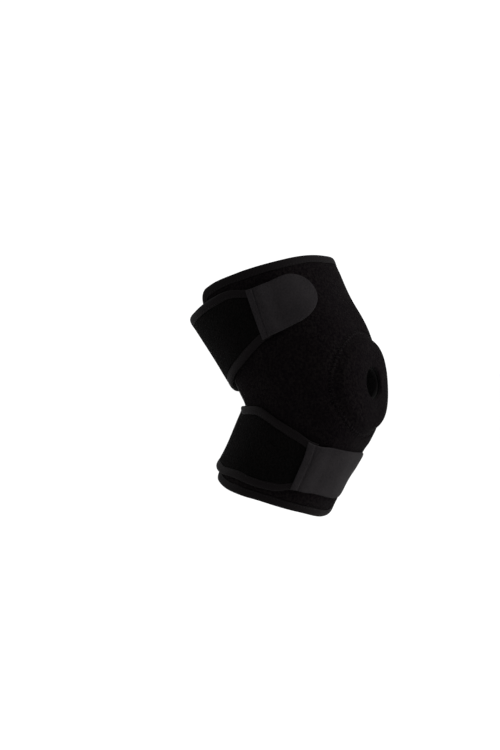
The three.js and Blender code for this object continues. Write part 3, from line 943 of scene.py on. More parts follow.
@dataclass(frozen=True)
class Outline:
    """Edge of the panel: two rims, a free back edge and a hidden inner end, with rounded corners."""

    leg: LegForm
    top: float = 138.0
    bottom: float = 115.0
    inner_end: float = -150.0
    corner: float = 14.0

    def rim(self, side: int, angle: Array) -> Array:
        """Place of the top rim (side 1) or the bottom rim (side -1) at an angle."""
        if side > 0:
            return self.top * smooth_read(RIMS, "top", angle)
        return -self.bottom * smooth_read(RIMS, "bottom", angle)

    def edge(self, at_back: bool, place: Array) -> Array:
        """Angle of the back edge or of the inner end at a place.

        Args:
            at_back: True for the back edge, False for the inner end.
            place: length along the middle line.

        Returns:
            Degrees, in the shape of place.
        """
        place = np.asarray(place, float)
        if not at_back:
            return np.full(place.shape, self.inner_end)
        return smooth_read(BACK_EDGE, "angle", place / np.where(place > 0, self.top, self.bottom))

    def corner_arc(self, side: int, at_back: bool, turns: Array) -> Array:
        """Follows a rounded corner: turn 0 is where it meets the side edge, 90 where it meets the rim.

        Args:
            side: 1 at the top, -1 at the bottom.
            at_back: True for the back edge, False for the inner end.
            turns: degrees round the corner.

        Returns:
            Rows of place and angle.
        """
        angle = self.edge(at_back, self.rim(side, self.edge(at_back, 0.0)))
        for _ in range(5):
            angle = self.edge(at_back, self.rim(side, angle))
        place = self.rim(side, angle)
        along, around = self.leg.scale(place, angle)
        down = side * self.corner * (1 - np.sin(np.radians(turns))) / along
        across = (-1 if at_back else 1) * self.corner * (1 - np.cos(np.radians(turns))) / around
        return np.stack([self.rim(side, angle + across) - down,
                         self.edge(at_back, place - down) + across], axis=1)

    def loop(self, count: int) -> Array:
        """Goes once round the edge: up the back edge, along the top, down the inner end and back.

        Args:
            count: how many spots to return, at even lengths.

        Returns:
            Rows of place and angle.
        """
        half = np.linspace(0, 45, 16)
        run = np.linspace(0, 1, 402)[1:-1, None]

        def side_edge(at_back: bool) -> Array:
            """A side edge from its low corner to its high one.

            Args:
                at_back: True for the back edge, False for the inner end.

            Returns:
                Rows of place and angle.
            """
            low = self.corner_arc(-1, at_back, 45 - half)
            high = self.corner_arc(1, at_back, half)
            place = (low[-1] * (1 - run) + high[0] * run)[:, 0]
            return np.concatenate([low, np.stack([place, self.edge(at_back, place)], axis=1), high])

        def rim_edge(side: int) -> Array:
            """A rim from its corner at the back edge to the one at the inner end.

            Args:
                side: 1 for the top rim, -1 for the bottom one.

            Returns:
                Rows of place and angle.
            """
            back = self.corner_arc(side, True, 45 + half)
            inner = self.corner_arc(side, False, 90 - half)
            angle = (back[-1] * (1 - run) + inner[0] * run)[:, 1]
            return np.concatenate([back, np.stack([self.rim(side, angle), angle], axis=1), inner])

        sides = [side_edge(True), rim_edge(1), side_edge(False)[::-1], rim_edge(-1)[::-1]]
        spots = np.concatenate([spots[:-1] for spots in sides])
        return evenly(self.leg.point(spots[:, 0], spots[:, 1], 2.0), spots, count, True)

    def inset(self, loop: Array, distance: Array) -> Array:
        """Moves the spots of a loop square to it, inwards, or outwards where the distance is negative.

        Args:
            loop: rows of place and angle round the edge.
            distance: in millimetres. Its shape broadcasts against one number for each spot.

        Returns:
            Place and angle on a last axis.
        """
        along, around = self.leg.scale(loop[:, 0], loop[:, 1])
        ahead = np.roll(loop, -1, axis=0) - np.roll(loop, 1, axis=0)
        run, turn = ahead[:, 0] * along, -ahead[:, 1] * around
        size = np.hypot(run, turn)
        place = loop[:, 0] - distance * turn / size / along
        angle = loop[:, 1] - distance * run / size / around
        return np.stack([place, angle], axis=-1)


@dataclass(frozen=True)
class Kneecap:
    """Ovals round the kneecap: the hole of the panel and the pad."""

    leg: LegForm
    place: float = 6.0
    angle: float = 0.0
    hole_tall: float = 30.0
    hole_wide: float = 29.0
    pad_tall: float = 108.0
    pad_wide: float = 104.0
    pad_rise: float = 6.2
    pad_margin: float = 0.8

    def spot(self, tall: Array, wide: Array, turn: Array) -> Array:
        """Place and angle on an oval of that height and width in millimetres, at a turn in radians."""
        along, around = self.leg.scale(self.place, self.angle)
        return np.stack([self.place + tall / 2 / along * np.sin(turn),
                         self.angle + wide / 2 / around * np.cos(turn)], axis=-1)

    def outwards(self, place: Array, angle: Array) -> tuple[Array, Array]:
        """Distance outside the pad's edge in millimetres, roughly, and turn round the pad in radians.

        Args:
            place: length along the middle line.
            angle: degrees round it.

        Returns:
            The distances and the turns.
        """
        along, around = self.leg.scale(self.place, self.angle)
        up, out = (place - self.place) * along, (angle - self.angle) * around
        turn = np.arctan2(up / self.pad_tall, out / self.pad_wide)
        edge = np.hypot(self.pad_tall / 2 * np.sin(turn), self.pad_wide / 2 * np.cos(turn))
        return np.hypot(up, out) - edge, turn


@dataclass(frozen=True)
class PadStitch:
    """Row of short bars over the edge of the pad, each pulled down into the cloth and a little slanted."""

    wide: float = 5.8
    pitch: float = 4.0
    outside: float = 2.4
    slant: float = 0.3
    radius: float = 0.24
    channel: float = 0.45
    groove: float = 0.85
    groove_size: float = 0.8
    pit: float = 0.5
    pit_size: float = 0.9

    @property
    def middle(self) -> float:
        """Distance outside the pad's edge of the middle of the row."""
        return self.outside - self.wide / 2

    def lean(self, outside: Array) -> Array:
        """How far a bar has leaned at a distance outside the pad's edge, as a share of the pitch."""
        return self.slant * (outside - self.middle) / self.wide

    def count(self, kneecap: Kneecap) -> int:
        """Number of bars in a whole turn of the oval."""
        a, b = kneecap.pad_tall / 2, kneecap.pad_wide / 2
        return round(2 * math.pi * math.sqrt((a * a + b * b) / 2) / self.pitch)

    def press(self, kneecap: Kneecap, outside: Array, turn: Array) -> Array:
        """Depth that the stitching presses in: a soft channel, a groove for each bar and pits at its ends.

        Args:
            kneecap: the ovals.
            outside: distance outside the pad's edge.
            turn: turn round the pad in radians.

        Returns:
            Depth in millimetres.
        """
        half = self.wide / 2
        step = (turn * self.count(kneecap) / (2 * math.pi) + self.lean(outside) + 0.5) % 1 - 0.5
        across = np.abs(outside - self.middle)
        bar = self.groove * smooth_step(half + 0.8, half - 0.6, across)
        ends = self.pit * bump_at(across, half, self.pit_size)
        channel = self.channel * bump_at(across, 0, self.wide * 0.62)
        return channel + bump_at(step * self.pitch, 0, self.groove_size) * (bar + ends)


def fold_relief(leg: LegForm, folds: Sequence[Fold], place: Array, angle: Array) -> Array:
    """Height of soft folds: each is a hump across its width that fades along its length.

    Args:
        leg: the form that the folds lie on.
        folds: the folds.
        place: where the height is wanted.
        angle: where the height is wanted.

    Returns:
        Height in millimetres.
    """
    around = leg.half_width * math.pi / 180
    height = np.zeros(np.broadcast(place, angle).shape)
    for fold in folds:
        up, out = place - fold.place, (angle - fold.angle) * around
        turn = math.radians(fold.turn)
        along = out * math.cos(turn) + up * math.sin(turn)
        across = up * math.cos(turn) - out * math.sin(turn)
        hump = np.exp(-((across / fold.width) ** 2)) - 0.5 * np.exp(-((across / fold.width / 2) ** 2))
        height += 2 * fold.height * hump * np.exp(-((along / fold.length) ** 2))
    return height


@dataclass(frozen=True)
class FoldedTape:
    """Section of a tape folded over an edge, with a pressed row of stitches on both of its legs."""

    cloth: Cloth
    thick: float
    stitch: Stitch = TAPE_STITCH
    stitch_inset: float = 6.4
    groove: float = 0.16
    pucker: float = 0.09
    pucker_spread: float = 1.5
    drift: float = 0.28
    nose: float = 0.95
    clear_inside: float = 0.03

    def section(self, run: Array) -> tuple[Array, Array]:
        """Works out the section at lengths along the tape.

        The outside follows the tape's table down to the middle of the edge and back up on the other
        side, and the inside follows it a tape's thickness deeper. The tape puckers between stitches,
        and its inner edge drifts a little, by two sine waves.

        Args:
            run: length along the tape, as a column.

        Returns:
            Distance inside the edge and height above the cloth's underside, a row for each station.
        """
        nose = np.array([[-self.nose, self.thick / 2, 1.0]])
        leg_in, leg_depth, leg_share = np.concatenate([np.array(TAPE_ROWS), nose]).T
        inner_in = np.maximum(leg_in, -self.cloth.tape_clear)
        inner_depth = (self.cloth.tape + self.clear_inside
                       + (self.thick / 2 - self.cloth.tape) * leg_share)
        inner_depth[-1] = self.thick / 2
        pulled = self.pucker * bump_at(leg_in, self.stitch_inset, self.pucker_spread)
        pucker = pulled * np.cos(2 * math.pi * run / self.stitch.pitch)
        waves = np.sin(run / 7.1) + 0.6 * np.sin(run / 3.3 + 1)
        drift = self.drift * waves * smooth_step(4, self.cloth.tape_wide, leg_in)
        inset = leg_in + drift
        depth = leg_depth + pucker
        inside = inner_in + drift
        deep = inner_depth + np.zeros_like(run)
        outer_in = np.concatenate([inset, inset[:, -2::-1]], axis=1)
        outer_height = np.concatenate([self.thick - depth, depth[:, -2::-1]], axis=1)
        back_in = np.concatenate([inside, inside[:, -2::-1]], axis=1)
        back_height = np.concatenate([self.thick - deep, deep[:, -2::-1]], axis=1)
        return (np.concatenate([outer_in, back_in[:, ::-1]], axis=1),
                np.concatenate([outer_height, back_height[:, ::-1]], axis=1))


@dataclass(frozen=True)
class StrapWaves:
    """Unevenness of a strap's face: heights in millimetres, places in degrees, and turns of the waves."""

    gather: float = 0.3
    gather_behind_tab: float = 16.0
    gather_spread: float = 20.0
    gather_turns: float = 9.4
    swell: float = 0.35
    swell_change: float = 0.25
    swell_turns: float = 3.1
    wave: float = 0.22
    wave_turns: float = 7.3
    wave_slant: float = 1.7
    calm_edge: float = 0.25
    calm_tab: float = 10.0
    lining_share: float = 0.4


@dataclass(frozen=True)
class Strap:
    """Wide strap that starts at the inner end of the panel and passes behind the leg to its tab."""

    leg: LegForm
    cloth: Cloth
    name: str
    rows: tuple[StrapRow, ...]
    place: float
    wide: float
    tab_rear: float
    tab_shoulder: float
    tab_tip: float
    start: float = 240.0
    start_round: float = 1.4
    start_thin: float = 0.25
    start_rows: tuple[float, float] = (2.6, 6.0)
    start_inset: float = 1.5
    tab_lap: float = 9.0
    tab_step: float = 16.0
    waves: StrapWaves = StrapWaves()
    stand: float = 2.6
    stand_middle: float = 182.0
    stand_spread: float = 48.0
    stations: int = 260
    lanes: int = 64
    row_spots: int = 80
    edge_steps: int = 10
    narrowest: float = 0.4
    tape_degree: float = 1.15  # roughly the length of tape for a degree, for its puckers alone

    def middle(self, angle: Array) -> Array:
        """Place of the strap's middle at an angle."""
        return self.place * smooth_read(self.rows, "place", angle)

    def half(self, angle: Array) -> Array:
        """Half of the strap's width at an angle."""
        return self.wide * smooth_read(self.rows, "width", angle) / 2

    def leaned(self, at: Array, angle: Array) -> Array:
        """Angle of a spot of the cross line that meets the strap's middle at an angle."""
        return angle + smooth_read(self.rows, "lean", angle) * (at - self.middle(angle))

    def under(self, angle: Array) -> Array:
        """Height of the underside: on the panel, and standing off behind the leg."""
        back = np.clip((angle - self.stand_middle) / self.stand_spread, -1, 1)
        return self.cloth.on_panel + self.stand * np.cos(back * math.pi / 2) ** 2

    def degrees(self, angle: float, length: float) -> float:
        """Degrees round the leg that are a length at the strap's middle."""
        return length / float(self.leg.scale(self.middle(angle), angle)[1])

    @property
    def end(self) -> float:
        """Angle where the strap ends under its tab."""
        return self.tab_rear - self.degrees(self.tab_rear, self.tab_lap)

    def relief(self, share: Array, angle: Array) -> Array:
        """Height of the strap's own unevenness.

        The cloth gathers a little where the strap narrows to its tab, swells between its tapes, and
        has two or three slow waves along it.

        Args:
            share: from -1 at the low edge to 1 at the high edge.
            angle: degrees round the leg.

        Returns:
            Height in millimetres.
        """
        waves = self.waves
        near_tab = bump_at(angle, self.tab_rear + waves.gather_behind_tab, waves.gather_spread)
        gather = near_tab * np.cos(share * waves.gather_turns + self.place)
        slow = np.sin(np.radians(angle * waves.swell_turns + self.place))
        swell = (1 - share**2) * (waves.swell + waves.swell_change * slow)
        wave = waves.wave * np.sin(np.radians(angle * waves.wave_turns) + share * waves.wave_slant)
        under_tab = self.tab_rear - 1
        calm = (smooth_step(0, waves.calm_edge, 1 - np.abs(share))
                * smooth_step(under_tab, under_tab + waves.calm_tab, angle))
        return calm * (waves.gather * gather + swell + wave)

    def inside(self, edge: Edge, angle: Array, distance: Array) -> Array:
        """Place at a distance inside one of the long edges, or outside it where that is negative.

        It goes in short steps, because the form narrows fast behind the knee.

        Args:
            edge: which long edge.
            angle: degrees round the leg.
            distance: in millimetres, in a shape that broadcasts against the angles.

        Returns:
            The places.
        """
        height = self.under(angle) + self.cloth.strap / 2
        at = self.middle(angle) + edge.value * self.half(angle) + 0 * distance
        for _ in range(self.edge_steps):
            above, below = (self.leg.point(at + step, self.leaned(at + step, angle), height)
                            for step in (0.5, -0.5))
            scale = np.maximum(np.linalg.norm(above - below, axis=-1), self.narrowest)
            at = at - edge.value * distance / self.edge_steps / scale
        return at

    def body(self) -> bpy.types.Object:
        """Builds the cloth of the strap: a closed section carried round the leg.

        Returns:
            The strap.
        """
        cloth = self.cloth
        angle = np.linspace(self.start, self.end, self.stations)[:, None]
        lane = np.linspace(0, 1, self.lanes)[None]
        steps = np.array([[0, cloth.band, cloth.band + cloth.tape_ramp / 2, cloth.band + cloth.tape_ramp]])
        low, high = (self.inside(edge, angle, steps) for edge in (Edge.LOW, Edge.HIGH))
        between = low[:, -1:] * (1 - lane) + high[:, -1:] * lane
        spot = np.concatenate([low[:, :3], between, high[:, 2::-1]], axis=1)
        press = np.concatenate([[1, 1, 0.5], np.zeros(self.lanes), [0.5, 1, 1]])[None] * cloth.thinned
        lean = self.leaned(spot, angle)
        rounding = np.sqrt(np.clip((self.start - angle) / self.start_round, 0, 1))
        under = self.under(angle)
        relief = self.relief((spot - self.middle(angle)) / self.half(angle), angle)
        centre = under + cloth.strap / 2
        thick = (cloth.strap / 2 - press) * (self.start_thin + (1 - self.start_thin) * rounding)
        top = self.leg.point(spot, lean, centre + thick + relief)
        bottom = self.leg.point(spot, lean, centre - thick + relief * self.waves.lining_share)
        sections = np.concatenate([top, bottom[:, ::-1]], axis=1)
        count = spot.shape[1]
        faces = np.concatenate([np.full(count, Face.OUTER.value), np.full(count, Face.LINING.value)])
        draft = Draft(self.name)
        draft.carry(sections, False, faces)
        return place_piece(draft.build([STRAP_LOOP, LINING]), "neoprene", self.name)

    def edge_spots(self, edge: Edge, angle: Array, inset: Array) -> tuple[Array, Array]:
        """Place and angle at a distance inside one of the long edges."""
        at = self.inside(edge, angle, inset)
        return at, self.leaned(at, angle)

    def binding(self, edge: Edge) -> tuple[bpy.types.Object, bpy.types.Object]:
        """Builds the tape on a long edge, and its stitches.

        Args:
            edge: which long edge.

        Returns:
            The tape and its stitches.
        """
        node = f"{self.name}_{edge.name.lower()}_binding"
        angle = np.linspace(self.start, self.end, self.stations)[:, None]
        tape = FoldedTape(self.cloth, self.cloth.strap)
        run = np.linspace(0, (self.start - self.end) * self.tape_degree, self.stations)[:, None]
        inset, height = tape.section(run)
        at, lean = self.edge_spots(edge, angle, inset)
        draft = Draft(node)
        draft.carry(self.leg.point(at, lean, self.under(angle) + height), False)
        piece = place_piece(draft.build([TAPE]), "binding_tape", node)
        sewing = Draft(f"{node}_stitches")
        for height in (self.cloth.strap - tape.groove, tape.groove):
            at, lean = self.edge_spots(edge, angle[:, 0], np.full(self.stations, tape.stitch_inset))
            line = self.leg.point(at, lean, self.under(angle[:, 0]) + height)
            out = self.leg.normal(at, lean) * (1 if height > self.cloth.strap / 2 else -1)
            seam(sewing, line, out, tape.stitch)
        return piece, place_piece(sewing.build([THREAD]), "binding_tape")

    def flat(self) -> tuple[tuple[float, float], float]:
        """Flat size and area of the strap, measured at the middle of its thickness.

        Returns:
            Width and length in metres, and area in square metres.
        """
        angle = np.linspace(self.start, self.end, 120)[None]
        at = self.middle(angle) + self.half(angle) * np.linspace(-1, 1, 40)[:, None]
        middle_height = self.under(angle) + self.cloth.strap / 2
        return flat_size(self.leg.point(at, self.leaned(at, angle), middle_height))

    def start_seam(self) -> bpy.types.Object:
        """Sews the start of the strap to the panel with two rows across it.

        Returns:
            The stitches.
        """
        sewing = Draft(f"{self.name}_start_stitches")
        share = np.linspace(-1, 1, self.row_spots)
        for inwards in self.start_rows:
            angle = np.full(self.row_spots, self.start - self.degrees(self.start, inwards))
            at = self.middle(angle) + share * (self.half(angle) - self.start_inset)
            height = self.under(angle) + self.cloth.strap + self.relief(share, angle)
            seam(sewing, self.leg.point(at, angle, height), self.leg.normal(at, angle), START_STITCH)
        return place_piece(sewing.build([THREAD]), "neoprene")


class Rays(NamedTuple):
    """Rays of the panel: their spots at the hole, before the pressed band, in it and at the edge."""

    hole: Array
    full: Array
    band: Array
    edge: Array
    reach: Array


@dataclass(frozen=True)
class WrapPanel:
    """Main panel with its hole at the kneecap, and the tape round its whole edge."""

    leg: LegForm
    cloth: Cloth
    outline: Outline
    kneecap: Kneecap
    stitch: PadStitch
    straps: tuple[Strap, ...]
    flat_round_pad: tuple[float, float] = (3.0, 16.0)
    bulge: float = 0.45
    bulge_out: float = 6.0
    bulge_spread: float = 3.6
    lip: float = 1.2
    lip_shares: tuple[float, ...] = (0.0, 0.12, 0.45, 1.0)
    calm_rim: float = 0.93
    rays: int = 520
    rings: int = 104
    inner_rings: int = 44
    tape_stations: int = 1500

    def relief(self, place: Array, angle: Array) -> Array:
        """Height of the panel's folds and slow swells, calm under the straps and round the pad.

        Args:
            place: length along the middle line.
            angle: degrees round it.

        Returns:
            Height in millimetres.
        """
        slow = sum(swell.height * np.sin(place / swell.length + np.radians(angle) * swell.turns)
                   for swell in PANEL_SWELLS)
        height = fold_relief(self.leg, PANEL_FOLDS, place, angle) + slow
        outside, _ = self.kneecap.outwards(place, angle)
        height = height * smooth_step(*self.flat_round_pad, outside)
        for strap in self.straps:
            for turn in (0.0, 360.0):
                height = self.under_strap(strap, height, place, angle + turn)
        return height

    def under_strap(self, strap: Strap, height: Array, place: Array, angle: Array) -> Array:
        """Flattens the panel under a strap, and lets it bulge a little beside the strap's edges.

        Args:
            strap: the strap.
            height: the panel's relief without it.
            place: length along the middle line.
            angle: degrees round it, counted as the strap's are.

        Returns:
            The relief with the strap.
        """
        outside = np.abs(place - strap.middle(angle)) - strap.half(angle)
        near = (smooth_step(strap.tab_tip - 8, strap.tab_tip + 4, angle)
                * smooth_step(strap.start + 12, strap.start, angle))
        bulge = self.bulge * bump_at(outside, self.bulge_out, self.bulge_spread)
        under = smooth_step(self.bulge_out, 0, outside)
        return height * (1 - near * under) + near * bulge * (1 - under)

    def ray_ends(self) -> Rays:
        """Finds where each ray starts and ends.

        A ray goes from a spot of the hole straight to the spot of the edge that lies in its direction.

        Returns:
            The rays, as rows of place and angle, and their lengths.
        """
        cloth, kneecap = self.cloth, self.kneecap
        edge = self.outline.loop(self.rays)
        full, band = (self.outline.inset(edge, np.full(self.rays, distance))
                      for distance in (cloth.band + cloth.tape_ramp, cloth.band))
        along, around = self.leg.scale(kneecap.place, kneecap.angle)
        turn = np.arctan2((full[:, 0] - kneecap.place) * along, (full[:, 1] - kneecap.angle) * around)
        hole = kneecap.spot(kneecap.hole_tall, kneecap.hole_wide, turn)
        reach = np.hypot((full - hole)[:, 0] * along, (full - hole)[:, 1] * around)
        return Rays(hole, full, band, edge, reach)

    def face(self, rays: Rays, shares: Array, outer: bool) -> Array:
        """Works out the outer face or the lining: the hole's round lip, the cloth, and the band at the edge.

        Args:
            rays: where the rays start and end.
            shares: shares of the way from the lip to the band.
            outer: True for the outer face.

        Returns:
            Points in millimetres, a row for each ray.
        """
        lips = np.array(self.lip_shares) * self.lip
        near = lips / rays.reach[:, None]
        way = np.concatenate([near, near[:, -1:] + (1 - near[:, -1:]) * shares], axis=1)[..., None]
        spot = rays.hole[:, None] * (1 - way) + rays.full[:, None] * way
        place, angle = spot[..., 0], spot[..., 1]
        fade = 1 - smooth_step(self.calm_rim, 1, np.linspace(0, 1, spot.shape[1]))
        height = self.relief(place, angle) * fade
        lip_drop = self.lip - np.sqrt(self.lip**2 - (self.lip - lips) ** 2)
        drop = np.concatenate([lip_drop, np.zeros(len(shares))])
        if outer:
            outside, turn = self.kneecap.outwards(place, angle)
            press = self.stitch.press(self.kneecap, outside, turn) * smooth_step(-1.5, 0.5, outside)
            height = height + self.cloth.panel - drop - press
        else:
            height = height + drop
        rim = np.stack([rays.band, rays.edge], axis=1)
        rim_height = self.cloth.panel - self.cloth.thinned if outer else self.cloth.thinned
        return np.concatenate([self.leg.point(place, angle, height),
                               self.leg.point(rim[..., 0], rim[..., 1], rim_height)], axis=1)

    def body(self) -> bpy.types.Object:
        """Builds the panel as rings from the hole to the edge, on its outer face and back on its lining.

        Returns:
            The panel.
        """
        rays = self.ray_ends()
        top = self.face(rays, self.ring_shares(self.rings), True)
        bottom = self.face(rays, np.linspace(0, 1, self.inner_rings + 1)[1:], False)
        faces = np.repeat([Face.OUTER.value, Face.LINING.value], [top.shape[1], bottom.shape[1]])
        lips = len(self.lip_shares)
        faces[:lips - 1] = Face.CUT.value
        faces[-lips:] = Face.CUT.value
        draft = Draft("wrap_panel")
        draft.carry(np.concatenate([top, bottom[:, ::-1]], axis=1), True, faces)
        return place_piece(draft.build([LOOP, LINING, FOAM]), "neoprene", "wrap_panel")

    def flat(self) -> tuple[tuple[float, float], float]:
        """Flat size and area of the panel, measured at the middle of its thickness.

        Returns:
            Width and length in metres, and area in square metres.
        """
        outline = self.outline
        across, down = np.linspace(0, 1, 160)[None], np.linspace(0, 1, 80)[:, None]
        angle = outline.inner_end + (outline.edge(True, 0.0) - outline.inner_end) * across
        place = outline.rim(-1, angle) * (1 - down) + outline.rim(1, angle) * down
        angle = outline.inner_end + (outline.edge(True, place) - outline.inner_end) * across
        place = outline.rim(-1, angle) * (1 - down) + outline.rim(1, angle) * down
        return flat_size(self.leg.point(place, angle, self.cloth.panel / 2))

    def ring_shares(self, count: int) -> Array:
        """Shares of the way to the edge, closer together where the pad is stitched down.

        Args:
            count: how many shares to return.

        Returns:
            The shares, the last of which is 1.
        """
        even = np.linspace(0, 1, 400)
        density = 1 + 1.6 * bump_at(even, 0.34, 0.14)
        run = np.concatenate([[0], np.cumsum((density[1:] + density[:-1]) / 2)])
        return np.interp(np.linspace(0, 1, count + 1)[1:], run / run[-1], even)

    def binding(self) -> tuple[bpy.types.Object, bpy.types.Object]:
        """Builds the tape folded over the whole edge, and its stitches on both faces.

        Returns:
            The tape and its stitches.
        """
        tape = FoldedTape(self.cloth, self.cloth.panel)
        edge = self.outline.loop(self.tape_stations)
        line = self.leg.point(edge[:, 0], edge[:, 1], 2.0)
        total = np.linalg.norm(np.roll(line, -1, axis=0) - line, axis=1).sum()
        waves = round(total / (2 * math.pi))
        run = np.linspace(0, 2 * math.pi * waves, self.tape_stations, endpoint=False)[:, None]
        inset, height = tape.section(run)
        spot = self.outline.inset(edge, inset.T).transpose(1, 0, 2)
        draft = Draft("panel_binding")
        draft.carry(self.leg.point(spot[..., 0], spot[..., 1], height), True)
        piece = place_piece(draft.build([TAPE]), "binding_tape", "panel_binding")
        sewing = Draft("panel_binding_stitches")
        row = self.outline.inset(edge, np.full(self.tape_stations, tape.stitch_inset))
        for height, side in ((self.cloth.panel - tape.groove, 1), (tape.groove, -1)):
            seam(sewing, self.leg.point(row[:, 0], row[:, 1], height),
                 self.leg.normal(row[:, 0], row[:, 1]) * side, tape.stitch, closed=True)
        return piece, place_piece(sewing.build([THREAD]), "binding_tape")


@dataclass(frozen=True)
class KneecapPad:
    """Raised ring round the kneecap hole, and the row of bars sewn over its edge."""

    leg: LegForm
    cloth: Cloth
    kneecap: Kneecap
    stitch: PadStitch
    seat: float = 0.08
    thinnest: float = 0.12
    swell: float = 0.12
    press_share: float = 0.6
    lip_shares: tuple[float, ...] = (0.0, 0.006, 0.02, 0.045)
    lip_drops: tuple[float, ...] = (1.5, 0.85, 0.35, 0.06)
    bar_rise: float = 0.3
    stations: int = 560
    rings: int = 72

    def height(self, share: Array, turn: Array) -> Array:
        """Height of the pad's face above the panel: its profile, pressed down where it is stitched.

        Args:
            share: share of the way from the hole to the edge.
            turn: turn round the pad in radians.

        Returns:
            Height in millimetres.
        """
        kneecap = self.kneecap
        way = np.hypot((kneecap.pad_tall - kneecap.hole_tall) / 2 * np.sin(turn),
                       (kneecap.pad_wide - kneecap.hole_wide) / 2 * np.cos(turn))
        outside = (share - 1) * way
        rise = kneecap.pad_rise * smooth_read(PAD_RISES, "height", share)
        swell = self.swell * np.sin(turn * 3 + 1) * np.sin(share * math.pi)
        press = self.stitch.press(kneecap, outside, turn) * self.press_share
        return np.maximum(rise + swell - press, self.thinnest)

    def body(self) -> bpy.types.Object:
        """Builds the pad: a section from the hole to its edge and back underneath, carried round.

        Returns:
            The pad.
        """
        kneecap = self.kneecap
        turn = np.linspace(0, 2 * math.pi, self.stations, endpoint=False)[:, None]
        share = np.concatenate([self.lip_shares, np.linspace(0.07, 1, self.rings)])[None]
        under_share = np.linspace(1, 0, 8)[None]

        def spot(shares: Array) -> Array:
            """Place and angle at shares of the way from the hole to the pad's edge.

            Args:
                shares: the shares, as a row.

            Returns:
                Place and angle on a last axis, a row for each station.
            """
            hole_tall = kneecap.hole_tall + 2 * kneecap.pad_margin
            hole_wide = kneecap.hole_wide + 2 * kneecap.pad_margin
            return kneecap.spot(hole_tall + (kneecap.pad_tall - hole_tall) * shares,
                                hole_wide + (kneecap.pad_wide - hole_wide) * shares, turn)

        base = self.cloth.panel + self.seat
        lip_drop = np.concatenate([self.lip_drops, np.zeros(self.rings)])[None]
        top, under = spot(share), spot(under_share)
        sections = np.concatenate([
            self.leg.point(top[..., 0], top[..., 1], base + self.height(share, turn) - lip_drop),
            self.leg.point(under[..., 0], under[..., 1], base),
        ], axis=1)
        faces = np.zeros(sections.shape[1], int)
        faces[-1] = 1
        draft = Draft("kneecap_pad")
        draft.carry(sections, True, faces)
        piece = place_piece(draft.build([LOOP, FOAM]), "neoprene", "kneecap_pad")
        return piece

    def bars(self) -> bpy.types.Object:
        """Sews the bars: a thread from each needle hole in the panel to the one in the pad.

        Returns:
            The bars.
        """
        kneecap, stitch = self.kneecap, self.stitch
        count = stitch.count(kneecap)
        ends = np.array([stitch.outside, stitch.outside - stitch.wide])[:, None]
        turn = (np.arange(count)[None] - stitch.lean(ends)) * 2 * math.pi / count
        spot = kneecap.spot(kneecap.pad_tall + 2 * ends, kneecap.pad_wide + 2 * ends, turn)
        share = 1 + ends[1] / ((kneecap.pad_wide - kneecap.hole_wide) / 2)
        rise = np.stack([np.full(count, -stitch.groove), self.height(share, turn[1]) + self.seat])
        needle = self.leg.point(spot[..., 0], spot[..., 1], self.cloth.panel + rise)
        out = self.leg.normal(spot[..., 0], spot[..., 1]).sum(axis=0)
        out /= np.linalg.norm(out, axis=1, keepdims=True)
        draft = Draft("kneecap_pad_stitches")
        draft.threads(needle.mean(axis=0), (needle[1] - needle[0]) / 2, out, stitch.radius, self.bar_rise)
        return place_piece(draft.build([THREAD]), "neoprene")


